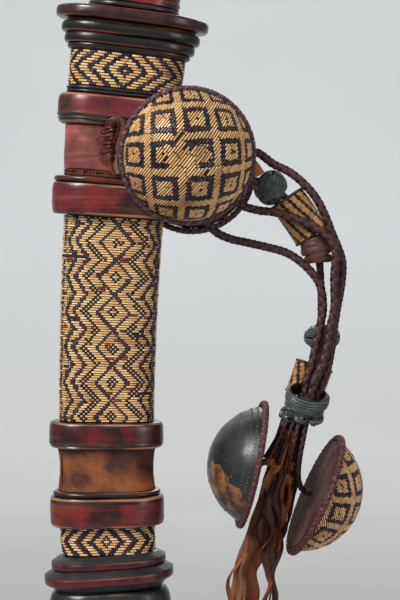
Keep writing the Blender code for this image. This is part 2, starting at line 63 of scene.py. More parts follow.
# ---------------------------------------------------------------- the scabbard's arc and core
CURVE_RADIUS = 1.87
VERTEX_HEIGHT = 0.011
THROAT = 0.2395
MID_DEPTH = -0.01192
DEPTH_SHARE = 0.8
END_ROUNDING = 1.25
GAP = 0.0003
CORE_PLACES = (-0.400, -0.060, 0.030, 0.131, 0.200, 0.2395)
CORE_WIDTHS = (0.0185, 0.0240, 0.0243, 0.0253, 0.0290, 0.0300)
CORE_DEPTHS = (0.0080, 0.0100, 0.0100, 0.0104, 0.0112, 0.0115)
COVER_LENGTHS = (
    ("throat_collar", 0.0229), ("upper_woven_panel", 0.0190), ("upper_binding", 0.0041),
    ("sling_ring_upper", 0.0168), ("sling_band", 0.0237), ("straw_strip", 0.0037),
    ("sling_ring_lower", 0.0210), ("main_woven_panel", 0.1118), ("groove_ring_upper", 0.0149),
    ("lower_groove_cover", 0.0231), ("groove_ring_lower", 0.0198), ("small_woven_panel", 0.0154),
    ("lower_moulding", 0.0193), ("bulge_ring", 0.0187), ("tooled_sleeve", 0.2903), ("tip_ring", 0.0140),
)


def place(across, depth, along):
    """Position of a place on the curved scabbard."""
    turn = along / CURVE_RADIUS
    reach = CURVE_RADIUS - across
    return Vector((
        CURVE_RADIUS - reach * math.cos(turn),
        MID_DEPTH + depth,
        VERTEX_HEIGHT + reach * math.sin(turn),
    ))


def core_girth(along, wall):
    """Of the core grown by a wall: flat half width, the rounded end's length and half depth, and its arc."""
    width = float(np.interp(along, CORE_PLACES, CORE_WIDTHS))
    depth = float(np.interp(along, CORE_PLACES, CORE_DEPTHS))
    end = END_ROUNDING * depth
    long, deep = end + wall, depth + DEPTH_SHARE * wall
    arc = math.pi / 2 * (3 * (long + deep) - math.sqrt((3 * long + deep) * (long + 3 * deep)))
    return width - end, long, deep, arc


def slab_place(girth, round_it, along):
    """Position at a distance round a flat slab with rounded ends, from the middle of its front."""
    flat, long, deep, arc = girth
    far = min(abs(round_it), 2 * flat + arc)
    side = 1 if round_it >= 0 else -1
    if far <= flat:
        return place(side * far, -deep, along)
    if far < flat + arc:
        turn = math.pi * (far - flat) / arc
        return place(side * (flat + long * math.sin(turn)), -deep * math.cos(turn), along)
    return place(side * (2 * flat + arc - far), deep, along)


def on_core(round_it, along, wall):
    return slab_place(core_girth(along, wall), round_it, along)


def cover_spans():
    """Top and bottom of each cover, from the throat down."""
    spans = {}
    top = THROAT
    for name, length in COVER_LENGTHS:
        spans[name] = (top - (0.0 if name == "throat_collar" else GAP), top - length)
        top -= length
    return spans


SPANS = cover_spans()


# ---------------------------------------------------------------- mesh tools
class Sculpt:
    """Points and faces of one piece. A point's marks are its tint_or_painted_shade (a second paint or painted
    shade), edge and shade, read by the materials.
    """

    def __init__(self):
        self.points = []
        self.marks = []
        self.faces = []
        self.kinds = []

    def skin(self, rows, mark=(0.0, 0.0, 0.5), kind=0, wrap=False, loop=False, cap=False, out=None):
        """Faces over rows of points, turned to face outwards. mark may be a function of row and column."""
        base, across, count = len(self.points), len(rows[0]), len(rows)
        for i, row in enumerate(rows):
            self.points += [tuple(p) for p in row]
            self.marks += [mark(i, j) if callable(mark) else mark for j in range(across)]
        made = []
        for i in range(count if loop else count - 1):
            low, high = base + i * across, base + (i + 1) % count * across
            for j in range(across if wrap else across - 1):
                k = (j + 1) % across
                made.append((low + j, low + k, high + k, high + j))
        middle = (count - 1) // 2
        a, b = Vector(rows[middle][0]), Vector(rows[middle][1])
        c, d = Vector(rows[middle + 1][1]), Vector(rows[middle + 1][0])
        if out is None:
            out = (a + b + c + d) / 4 - sum((Vector(p) for p in rows[middle]), Vector()) / across
        inwards = (c - a).cross(d - b).dot(out) < 0
        if cap:
            made.append(tuple(base + j for j in reversed(range(across))))
            made.append(tuple(base + (count - 1) * across + j for j in range(across)))
        self.faces += [face[::-1] if inwards else face for face in made]
        self.kinds += [kind] * len(made)

    def make(self, name, paints, body, slot, *nodes, sharp=50):
        data = bpy.data.meshes.new(name)
        data.from_pydata(self.points, [], self.faces)
        data.polygons.foreach_set("material_index", self.kinds)
        for k, title in enumerate(("tint_or_painted_shade", "edge", "shade")):
            layer = data.attributes.new(title, "FLOAT", "POINT")
            layer.data.foreach_set("value", [m[k] for m in self.marks])
        data.shade_smooth()
        data.set_sharp_from_angle(angle=math.radians(sharp))
        for paint in paints:
            data.materials.append(paint)
        obj = bpy.data.objects.new(name, data)
        bpy.context.scene.collection.objects.link(obj)
        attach(obj, body)
        if nodes:
            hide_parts(*nodes)
        return obj


def smooth_route(points, spacing):
    """Evenly spaced points on a smooth curve through a route's own points."""
    knots = [Vector(p) for p in points]
    ends = [2 * knots[0] - knots[1]] + knots + [2 * knots[-1] - knots[-2]]
    fine = [knots[0]]
    for before, start, stop, after in zip(ends, ends[1:], ends[2:], ends[3:]):
        leave = start + (stop - before) / 6
        arrive = stop - (after - start) / 6
        fine += interpolate_bezier(start, leave, arrive, stop, 9)[1:]
    run = run_of(fine)
    places = np.linspace(0.0, run[-1], max(2, round(run[-1] / spacing)) + 1)
    columns = [np.interp(places, run, [p[k] for p in fine]) for k in range(3)]
    return [Vector(p) for p in zip(*columns)]


def run_of(line):
    """Distance along a line at each of its points."""
    return np.concatenate([[0.0], np.cumsum([(b - a).length for a, b in zip(line, line[1:])])])


def tangents(line, closed=False):
    count = len(line)
    if closed:
        return [(line[(i + 1) % count] - line[i - 1]).normalized() for i in range(count)]
    return [(line[min(i + 1, count - 1)] - line[max(i - 1, 0)]).normalized() for i in range(count)]


def carried(line, up):
    """A direction across the line at each point, carried along it without twisting."""
    ups = []
    up = Vector(up)
    for along in tangents(line):
        up = (up - along * up.dot(along)).normalized()
        ups.append(up)
    return ups


def oval(half_width, half_depth, count):
    turns = [2 * math.pi * k / count for k in range(count)]
    return [(half_width * math.cos(t), half_depth * math.sin(t)) for t in turns]


def sweep(sculpt, line, ups, section, mark=(0.0, 0.0, 0.5), kind=0, closed=False, size=None):
    """Carry a section, points across and up, along a line."""
    rows = []
    for i, (middle, along, up) in enumerate(zip(line, tangents(line, closed), ups)):
        side = along.cross(up).normalized()
        up = side.cross(along)
        grown = size(i / (len(line) - 1)) if size else 1.0
        rows.append([middle + side * (x * grown) + up * (y * grown) for x, y in section])
    sculpt.skin(rows, mark, kind, wrap=True, loop=closed, cap=not closed)


def plait(sculpt, line, ups, radius, period, closed=False, kind=0, sides=8):
    """Four leather strands braided round a line, over and under each other, round a core painted as shade,
    with painted shade where the strands meet.
    """
    run = run_of(line + line[:1] if closed else line)
    if closed:
        period = run[-1] / max(1, round(run[-1] / period))
    across = tangents(line, closed)
    # A dark core, marked full tint_or_painted_shade: painted shade seen in the gaps between the strands.
    sweep(sculpt, line, ups, oval(radius * 0.46, radius * 0.46, 6), (1.0, 0.0, 0.0), kind, closed)
    section = oval(radius * 0.64, radius * 0.34, sides)
    for strand in range(4):
        sense = 1 if strand < 2 else -1
        start = math.pi * (strand % 2) + (0.0 if strand < 2 else math.pi / 2)
        course, outs = [], []
        for middle, along, up, gone in zip(line, across, ups, run):
            turn = 2 * math.pi * gone / period
            angle = sense * turn + start
            out = along.cross(up) * math.cos(angle) + up * math.sin(angle)
            course.append(middle + out * radius * (0.50 + sense * 0.16 * math.sin(2 * turn)))
            outs.append(out)
        shade = DICE.random()

        # A strand's flanks get tint_or_painted_shade: painted shade where it presses on its neighbours.
        def mark(i, j):
            flank = abs(math.cos(2 * math.pi * j / sides))
            return max(0.0, flank - 0.75) * 4 * 0.9, flank, shade

        sweep(sculpt, course, outs, section, mark, kind, closed)


def lay_ridged(sculpt, line, ups, half_width, thickness, ridges, kind=0):
    """A closed flat band with fine ridges along its top, with painted shade in the valleys between them and on
    its underside.
    """
    top, dark = [], []
    for k in range(2 * ridges + 1):
        share = 1 - k / ridges
        dome = thickness * (0.55 + 0.45 * math.sqrt(max(0.0, 1 - share * share)))
        top.append((half_width * share, dome - (0.0 if k % 2 else 0.35 * thickness)))
        # dark becomes the tint_or_painted_shade mark: painted shade in the valleys and, below, on the
        # underside.
        dark.append(0.0 if k % 2 else 1.0)
    section = top + [(-half_width, -0.3 * thickness), (half_width, -0.3 * thickness)]
    dark += [1.0, 1.0]
    shade = DICE.uniform(0.2, 1.0)
    sweep(sculpt, line, ups, section, lambda i, j: (dark[j], 0.0, shade), kind, closed=True)


# ---------------------------------------------------------------- weaving
STRAW, SLATE, PURPLE, BARE, RED = 0, 1, 2, 3, 4
ARCH = ((-0.50, 0.0), (-0.27, 0.88), (0.27, 0.88), (0.50, 0.0))
END_RAMP = 0.00035


def lay_float(sculpt, surface, start, stop, row, width, height, kind, lean=0.0, step=0.0022):
    """One straw or thong over the weave, from start to stop along its row."""
    ramp = min(END_RAMP, (stop - start) / 3)
    shade = DICE.random()
    middle = (start + stop) / 2
    inner = np.linspace(start + ramp, stop - ramp, max(2, math.ceil((stop - start) / step)))
    stations = [(start, 0.05), *[(s, 1.0) for s in inner], (stop, 0.05)]
    rows = [[surface(s, row + lean * (s - middle) + width * a, height * b * rise) for a, b in ARCH]
            for s, rise in stations]
    out = surface(middle, row, height) - surface(middle, row, 0.0)
    last = len(rows) - 1
    # edge is 1 on the float's ends and sides: the straw paints lay painted shade there.
    sculpt.skin(rows, lambda i, j: (0.0, 1.0 if i in (0, last) or j in (0, 3) else 0.0, shade), kind, out=out)


def weave(sculpt, surface, rows, cell, pattern, width, height, longest, lean=0.0):
    """Lay floats along rows (place, start, stop). pattern gives the kind at a place along and across them."""
    for number, (row, start, stop) in enumerate(rows):
        count = max(1, round((stop - start) / cell))
        size = (stop - start) / count
        kinds = [pattern(start + (k + 0.5) * size, row, number, k) for k in range(count)] + [None]
        first = 0
        limit = longest[0] * DICE.uniform(0.6, 1.0)
        for k in range(1, count + 1):
            if kinds[k] == kinds[first] and (k - first) * size < limit:
                continue
            if kinds[first] != BARE:
                low = start + first * size + 0.00012
                high = start + k * size - 0.00012
                grown = height * DICE.uniform(0.85, 1.15)
                tilt = lean + DICE.uniform(-0.02, 0.02)
                lay_float(sculpt, surface, low, high, row, width, grown, kinds[first], tilt)
            first = k
            if k < count:
                limit = longest[0 if kinds[k] == STRAW else 1] * DICE.uniform(0.75, 1.0)


def lay_band(sculpt, surface, corners, width, height, kind, step=0.0015, shade=None):
    """A continuous thong over a surface, through corners given as (along the rows, across them)."""
    for (s0, t0), (s1, t1) in zip(corners, corners[1:]):
        count = max(2, math.ceil(math.hypot(s1 - s0, t1 - t0) / step))
        length = math.hypot(s1 - s0, t1 - t0)
        across = ((t0 - t1) / length * width, (s1 - s0) / length * width)
        rows = []
        for k in range(count + 1):
            part = k / count
            rise = height * (0.82 + 0.18 * math.cos(2 * math.pi * k / 2))
            s, t = s0 + (s1 - s0) * part, t0 + (t1 - t0) * part
            rows.append([surface(s + across[0] * a, t + across[1] * a, rise * b) for a, b in ARCH])
        out = surface(s0, t0, height) - surface(s0, t0, 0.0)
        value = DICE.random() if shade is None else shade
        sculpt.skin(rows, lambda i, j: (0.0, 1.0 if j in (0, 3) else 0.0, value), kind, out=out)


# ---------------------------------------------------------------- materials
def srgb(red, green, blue):
    """A screen colour as Blender's linear colour."""
    parts = [v / 255 for v in (red, green, blue)]
    return (*[v / 12.92 if v <= 0.04045 else ((v + 0.055) / 1.055) ** 2.4 for v in parts], 1.0)


COAT_ROUGHNESS = 0.25


class Paint:
    """A material's nodes, built by short calls."""

    def __init__(self, name):
        self.material = bpy.data.materials.new(name)
        self.material.use_nodes = True
        self.tree = self.material.node_tree
        self.shader = self.tree.nodes["Principled BSDF"]
        self.where = self.node("ShaderNodeTexCoord").outputs["Object"]

    def node(self, kind, inputs=None, **settings):
        made = self.tree.nodes.new(kind)
        for key, value in settings.items():
            setattr(made, key, value)
        for key, value in (inputs or {}).items():
            self.give(made.inputs[key], value)
        return made

    def give(self, socket, value):
        if isinstance(value, bpy.types.NodeSocket):
            self.tree.links.new(value, socket)
        else:
            socket.default_value = value

    def noise(self, scale, detail=3.0, stretch=(1.0, 1.0, 1.0)):
        spread = self.node("ShaderNodeMapping", {"Vector": self.where, "Scale": stretch})
        inputs = {"Vector": spread.outputs[0], "Scale": scale, "Detail": detail}
        return self.node("ShaderNodeTexNoise", inputs).outputs["Fac"]

    def cells(self, scale):
        inputs = {"Vector": self.where, "Scale": scale}
        return self.node("ShaderNodeTexVoronoi", inputs, feature="DISTANCE_TO_EDGE").outputs["Distance"]

    def mark(self, title):
        return self.node("ShaderNodeAttribute", attribute_name=title).outputs["Fac"]

    def maths(self, operation, first, second):
        return self.node("ShaderNodeMath", {0: first, 1: second}, operation=operation).outputs[0]

    def share(self, value, low, high, least=0.0, most=1.0):
        inputs = {"Value": value, "From Min": low, "From Max": high, "To Min": least, "To Max": most}
        return self.node("ShaderNodeMapRange", inputs).outputs[0]

    def mix(self, share, first, second):
        made = self.node("ShaderNodeMix", data_type="RGBA")
        for index, value in ((0, share), (6, first), (7, second)):
            self.give(made.inputs[index], value)
        return made.outputs[2]

    def done(self, colour, roughness, heights=(), metallic=0.0, coat=0.0):
        """Link colour and roughness, stack bumps (height, strength, distance), and set the even values."""
        self.give(self.shader.inputs["Base Color"], colour)
        self.give(self.shader.inputs["Roughness"], roughness)
        self.shader.inputs["Metallic"].default_value = metallic
        self.shader.inputs["Coat Weight"].default_value = coat
        self.shader.inputs["Coat Roughness"].default_value = COAT_ROUGHNESS
        normal = None
        for height, strength, distance in heights:
            bump = self.node("ShaderNodeBump", {"Height": height, "Strength": strength, "Distance": distance})
            if normal is not None:
                self.tree.links.new(normal, bump.inputs["Normal"])
            normal = bump.outputs[0]
        if normal is not None:
            self.tree.links.new(normal, self.shader.inputs["Normal"])
        return self.material


def leather(name, plain, deep, worn, other=None, roughness=(0.30, 0.55), wear=0.62, coat=0.2, streak=0.0,
            patch=None, patch_from=0.66, other_deep=None, ragged=0.5, shine=0.4):
    """Worked leather: blotched, a second paint where the tint_or_painted_shade mark is high (on the groove
    suede a painted shadow), and wear on edges and in patches.
    """
    p = Paint(name)
    broad = p.noise(55.0, 4.0)
    fine = p.noise(700.0, 3.0)
    scuffs = p.noise(130.0, 6.0, (0.25, 0.25, 1.4))
    colour = p.mix(p.share(broad, 0.38, 0.62), plain, deep)
    if other is not None:
        if other_deep is not None:
            other = p.mix(p.share(p.noise(160.0, 4.0), 0.42, 0.6), other, other_deep)
        # The second paint's mask: a painted shadow on the groove suede, a second paint or worn patches
        # elsewhere.
        torn_or_painted_shadow = p.maths("ADD", p.mark("tint_or_painted_shade"), p.maths("MULTIPLY", p.maths("SUBTRACT", scuffs, 0.5), ragged))
        colour = p.mix(p.share(torn_or_painted_shadow, 0.42, 0.58), colour, other)
    if streak:
        lines = p.noise(420.0, 2.0, (0.06, 0.06, 1.0))
        colour = p.mix(p.share(lines, 0.50, 0.75, 0.0, streak), colour, worn)
    if patch is not None:
        colour = p.mix(p.share(p.noise(38.0, 5.0), patch_from, patch_from + 0.06), colour, patch)
    rubbed = p.maths("ADD", p.maths("MULTIPLY", p.mark("edge"), 0.42), p.maths("MULTIPLY", scuffs, 0.62))
    colour = p.mix(p.share(rubbed, wear, wear + 0.12), colour, worn)
    colour = p.mix(p.share(fine, 0.35, 0.75, 0.0, 0.35), colour, deep)
    rough = p.share(scuffs, 0.3, 0.7, *roughness)
    p.shader.inputs["Specular IOR Level"].default_value = shine
    heights = [(p.cells(900.0), 0.25, 0.0002), (scuffs, 0.35, 0.0006), (fine, 0.3, 0.0002)]
    return p.done(colour, rough, heights, coat=coat)


STRAW_ROUGHNESS = 0.36


def straw_paint(name, pale, golden, brown):
    """Split straw: each piece has its own tone, with fine streaks, grime, and painted shade along its ends and
    sides.
    """
    p = Paint(name)
    streaks = p.noise(1400.0, 2.0)
    grime = p.noise(45.0, 5.0)
    colour = p.mix(p.mark("shade"), golden, pale)
    colour = p.mix(p.share(streaks, 0.35, 0.72, 0.0, 0.45), colour, brown)
    colour = p.mix(p.share(grime, 0.56, 0.72, 0.0, 0.55), colour, brown)
    # Painted shade: the edge mark darkens each float's ends and sides, to show the gaps and its rounding.
    colour = p.mix(p.share(p.mark("edge"), 0.35, 1.0, 0.0, 0.85), colour, srgb(44, 24, 16))
    return p.done(colour, STRAW_ROUGHNESS, [(streaks, 0.3, 0.0001)], coat=0.15)


def shaded(name, first, second, accent, accent_from=0.62, roughness=0.42, coat=0.1, edge_share=0.0,
           groove=None):
    """Small leather strands: a shade for each, with flecks of an accent colour, mostly along their edges.
    groove is a painted shade, laid where the tint_or_painted_shade mark is high.
    """
    p = Paint(name)
    flecks = p.noise(260.0, 5.0)
    grain = p.noise(1500.0, 2.0)
    colour = p.mix(p.mark("shade"), first, second)
    where = p.maths("ADD", flecks, p.maths("MULTIPLY", p.mark("edge"), edge_share))
    colour = p.mix(p.share(where, accent_from, accent_from + 0.10), colour, accent)
    colour = p.mix(p.share(grain, 0.4, 0.8, 0.0, 0.4), colour, first)
    # Painted shade: the groove colour darkens strand edges, plait cores, ridge valleys and the undersides of
    # wrapped turns.
    if groove is not None:
        colour = p.mix(p.mark("tint_or_painted_shade"), colour, groove)
    rough = p.share(flecks, 0.35, 0.65, roughness - 0.1, roughness + 0.12)
    return p.done(colour, rough, [(grain, 0.35, 0.00015)], coat=coat)


STRAW_PAINT = straw_paint("straw", srgb(255, 220, 164), srgb(222, 166, 102), srgb(132, 80, 46))
STRAP_STRAW = straw_paint("amber_straw", srgb(240, 188, 124), srgb(204, 138, 76), srgb(110, 56, 28))
SLATE_PAINT = shaded("slate_thong", srgb(24, 25, 32), srgb(58, 56, 68), srgb(84, 78, 92), 0.66)
PURPLE_PAINT = shaded("purple_thong", srgb(48, 30, 40), srgb(76, 50, 62), srgb(104, 44, 46), 0.64)
RUBBED_PAINT = shaded("rubbed_red_straw", srgb(96, 34, 30), srgb(150, 66, 46), srgb(60, 24, 24), 0.6, 0.5,
    0.05)
FRAY_PAINT = shaded("frayed_thong", srgb(66, 34, 22), srgb(128, 66, 34), srgb(36, 18, 14), 0.6, 0.55, 0.05)
SEAM_PAINT = leather("seam_leather", srgb(120, 52, 34), srgb(74, 34, 26), srgb(160, 92, 56), wear=0.7,
    coat=0.0)
UNDER_PAINT = leather("under_leather", srgb(26, 20, 20), srgb(14, 12, 13), srgb(92, 48, 34),
    roughness=(0.5, 0.75),
                      coat=0.0, patch=srgb(96, 34, 32), patch_from=0.63)
DOME_UNDER = leather("dome_under_leather", srgb(78, 34, 30), srgb(40, 22, 22), srgb(120, 62, 40),
                     roughness=(0.5, 0.75), coat=0.0)
RED_PAINT = leather("red_leather", srgb(122, 27, 34), srgb(32, 11, 16), srgb(184, 112, 68), srgb(19, 18, 20),
                    streak=0.16, wear=0.61, coat=0.45, roughness=(0.20, 0.46))
BAND_PAINT = leather("sling_band_leather", srgb(176, 90, 82), srgb(108, 50, 47), srgb(204, 150, 118),
    streak=0.16,
                     wear=0.68, roughness=(0.32, 0.5), coat=0.3, patch=srgb(140, 56, 54))
COLLAR_PAINT = leather("collar_leather", srgb(24, 17, 19), srgb(11, 9, 11), srgb(168, 84, 44),
    srgb(58, 27, 25),
                       roughness=(0.2, 0.40), wear=0.57, coat=0.35, other_deep=srgb(30, 16, 17))
BLACK_PAINT = leather("black_leather", srgb(25, 24, 25), srgb(12, 11, 12), srgb(110, 60, 42),
    srgb(98, 44, 38),
                      roughness=(0.26, 0.5), wear=0.70, coat=0.4)
# Its second colour is a painted shadow, laid under the upper groove ring.
SUEDE_PAINT = leather("worn_suede", srgb(144, 84, 50), srgb(58, 33, 26), srgb(190, 112, 68), srgb(62, 40, 38),
                      roughness=(0.7, 0.9), wear=0.62, coat=0.0, patch=srgb(72, 46, 44), patch_from=0.54,
                      shine=0.2)
PLAIN_PAINT = leather("domed_leather", srgb(38, 39, 41), srgb(22, 21, 22), srgb(112, 104, 92),
    srgb(150, 96, 54),
                      roughness=(0.3, 0.5), wear=0.76, coat=0.25, other_deep=srgb(78, 46, 28), ragged=1.3)
DISC_PAINT = leather("disc_leather", srgb(98, 74, 66), srgb(62, 42, 40), srgb(118, 52, 42),
                     roughness=(0.72, 0.88), wear=0.74, coat=0.0, shine=0.15)
# Painted shade: the last colour of each of these five paints is the dark laid in the creases between strands,
# ridges and turns.
CORD_PAINT = shaded("braided_leather", srgb(42, 19, 19), srgb(80, 38, 36), srgb(136, 46, 34), 0.76, 0.55,
    0.0, 0.2,
                    srgb(14, 7, 7))
WELT_PAINT = shaded("welt_leather", srgb(66, 42, 46), srgb(98, 68, 74), srgb(130, 46, 44), 0.74, 0.52, 0.0,
    0.2,
                    srgb(30, 16, 18))
RED_WELT_PAINT = shaded("red_welt_leather", srgb(66, 30, 34), srgb(92, 44, 44), srgb(140, 42, 38), 0.72,
    0.55, 0.0,
                        0.2, srgb(26, 12, 12))
KNOT_PAINT = shaded("slate_knot_leather", srgb(56, 60, 64), srgb(96, 102, 104), srgb(120, 108, 102), 0.74,
    0.42, 0.2,
                    0.0, srgb(9, 10, 12))
WRAP_PAINT = shaded("wrap_leather", srgb(64, 36, 31), srgb(94, 56, 46), srgb(160, 86, 48), 0.80, 0.50, 0.0,
    0.30,
                    srgb(30, 16, 14))
THONG_PAINT = shaded("thong_leather", srgb(150, 78, 36), srgb(186, 106, 50), srgb(84, 34, 24), 0.62, 0.55,
    0.05)
# These two paints have a dark brown as their wear colour, so the strips' edges and scuffs come out darker.
TAN_PAINT = leather("tan_strip", srgb(150, 98, 54), srgb(92, 54, 32), srgb(48, 26, 19), roughness=(0.5, 0.7),
                    coat=0.05, wear=0.64)
ORANGE_PAINT = leather("orange_strip", srgb(150, 74, 36), srgb(84, 38, 24), srgb(36, 18, 15),
    roughness=(0.5, 0.7),
                       coat=0.05, wear=0.64)
DARK_STRIP_PAINT = leather("dark_strip", srgb(74, 40, 30), srgb(44, 24, 20), srgb(138, 78, 44),
                           roughness=(0.45, 0.65), coat=0.1, wear=0.66)
BONE_PAINT = shaded("tooled_dots", srgb(104, 102, 98), srgb(52, 51, 50), srgb(60, 58, 56), 0.55, 0.5, 0.0)


def plain_paints():
    """Wood, steel and brass."""
    p = Paint("carved_wood")
    rings = p.noise(90.0, 4.0, (1.0, 1.0, 0.08))
    colour = p.mix(p.share(rings, 0.35, 0.65), srgb(112, 74, 42), srgb(70, 42, 24))
    wood = p.done(colour, p.share(rings, 0.3, 0.7, 0.55, 0.8), [(rings, 0.4, 0.0004)])
    p = Paint("blade_steel")
    brushed = p.noise(600.0, 3.0, (1.0, 1.0, 0.05))
    stains = p.noise(40.0, 5.0)
    colour = p.mix(p.share(stains, 0.5, 0.7, 0.0, 0.7), srgb(176, 178, 180), srgb(108, 100, 92))
    steel = p.done(colour, p.share(brushed, 0.3, 0.7, 0.22, 0.45), [(brushed, 0.12, 0.0001)], metallic=1.0)
    p = Paint("cap_brass")
    dents = p.noise(240.0, 4.0)
    colour = p.mix(p.share(p.noise(60.0, 4.0), 0.4, 0.65), srgb(196, 156, 84), srgb(110, 78, 38))
    brass = p.done(colour, p.share(dents, 0.3, 0.7, 0.25, 0.5), [(dents, 0.3, 0.0003)], metallic=1.0)
    return wood, steel, brass


WOOD_PAINT, STEEL_PAINT, BRASS_PAINT = plain_paints()


def repaint(node, paint):
    """Give a CAD node that stays a better material."""
    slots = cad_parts[node].material_slots
    for entry in slots:
        entry.material = paint


# ---------------------------------------------------------------- camera, light and floor
VIEW_LENS = 84.0
VIEW_PLACE = (0.0517, -0.782, 0.126)
VIEW_DROP = math.radians(2.4)


def make_camera():
    data = bpy.data.cameras.new("camera")
    data.lens = VIEW_LENS
    data.sensor_width = 36.0
    data.clip_start = 0.01
    camera = bpy.data.objects.new("camera", data)
    camera.location = VIEW_PLACE
    camera.rotation_euler = (math.pi / 2 - VIEW_DROP, 0.0, 0.0)
    bpy.context.scene.collection.objects.link(camera)
    bpy.context.scene.camera = camera


def area_light(name, location, aim, size, power, colour=(1.0, 1.0, 1.0)):
    data = bpy.data.lights.new(name, "AREA")
    data.shape = "RECTANGLE"
    data.size, data.size_y = size
    data.energy = power
    data.color = colour
    lamp = bpy.data.objects.new(name, data)
    lamp.location = location
    lamp.rotation_mode = "QUATERNION"
    lamp.rotation_quaternion = (Vector(aim) - Vector(location)).to_track_quat("-Z", "Y")
    lamp.visible_camera = False
    bpy.context.scene.collection.objects.link(lamp)


def make_stage():
    """A pale sweep: a floor that curves up into a wall well behind the sword, its paper painted with a light
    gradient.
    """
    low = CAD_BOX[0][2] - 0.001
    bend, back, wide, high = 1.6, 4.8, 18.0, 4.5
    profile = [(-wide, low)]
    for k in range(17):
        turn = math.pi / 2 * k / 16
        profile.append((back - bend + bend * math.sin(turn), low + bend - bend * math.cos(turn)))
    profile.append((back, low + high))
    rows = [[(x, y, z) for x in np.linspace(-wide, wide, 3)] for y, z in profile]
    sculpt = Sculpt()
    sculpt.skin(rows, out=Vector((0.0, -1.0, 1.0)))
    p = Paint("stage_paper")
    place = p.node("ShaderNodeSeparateXYZ", {"Vector": p.where}).outputs
    # Painted light: the paper is darker on the floor in front and lighter towards the back and up the wall, as
    # the light falls off.
    colour = p.mix(p.share(place["Y"], 1.5, 3.4), srgb(176, 177, 175), srgb(206, 207, 205))
    colour = p.mix(p.share(place["Z"], low + 0.05, low + 0.6), colour, srgb(214, 217, 218))
    colour = p.mix(p.share(p.noise(3.0, 2.0), 0.3, 0.7, 0.0, 0.25), colour, srgb(206, 208, 210))
    paper = p.done(colour, 0.9)
    data = bpy.data.meshes.new("stage")
    data.from_pydata(sculpt.points, [], sculpt.faces)
    data.shade_smooth()
    data.materials.append(paper)
    stage = bpy.data.objects.new("stage", data)
    bpy.context.scene.collection.objects.link(stage)


def make_light():
    world = bpy.data.worlds.new("studio")
    world.use_nodes = True
    world.node_tree.nodes["Background"].inputs["Color"].default_value = (0.86, 0.88, 0.90, 1.0)
    world.node_tree.nodes["Background"].inputs["Strength"].default_value = 0.44
    scene = bpy.context.scene
    scene.world = world
    scene.view_settings.view_transform = "Standard"
    target = (0.05, 0.0, 0.08)
    area_light("key", (-0.80, -0.95, 1.10), target, (0.5, 0.7), 27.0, (1.0, 0.985, 0.96))
    area_light("fill", (1.0, -1.1, 0.35), target, (0.5, 1.0), 4.5, (0.97, 0.98, 1.0))
    area_light("wall_wash", (0.0, 2.7, 3.2), (0.0, 4.8, 0.2), (6.0, 0.6), 96.0)
    area_light("back_fill", (0.3, 2.8, 1.5), target, (0.8, 0.8), 9.0)


make_camera()
make_stage()
make_light()

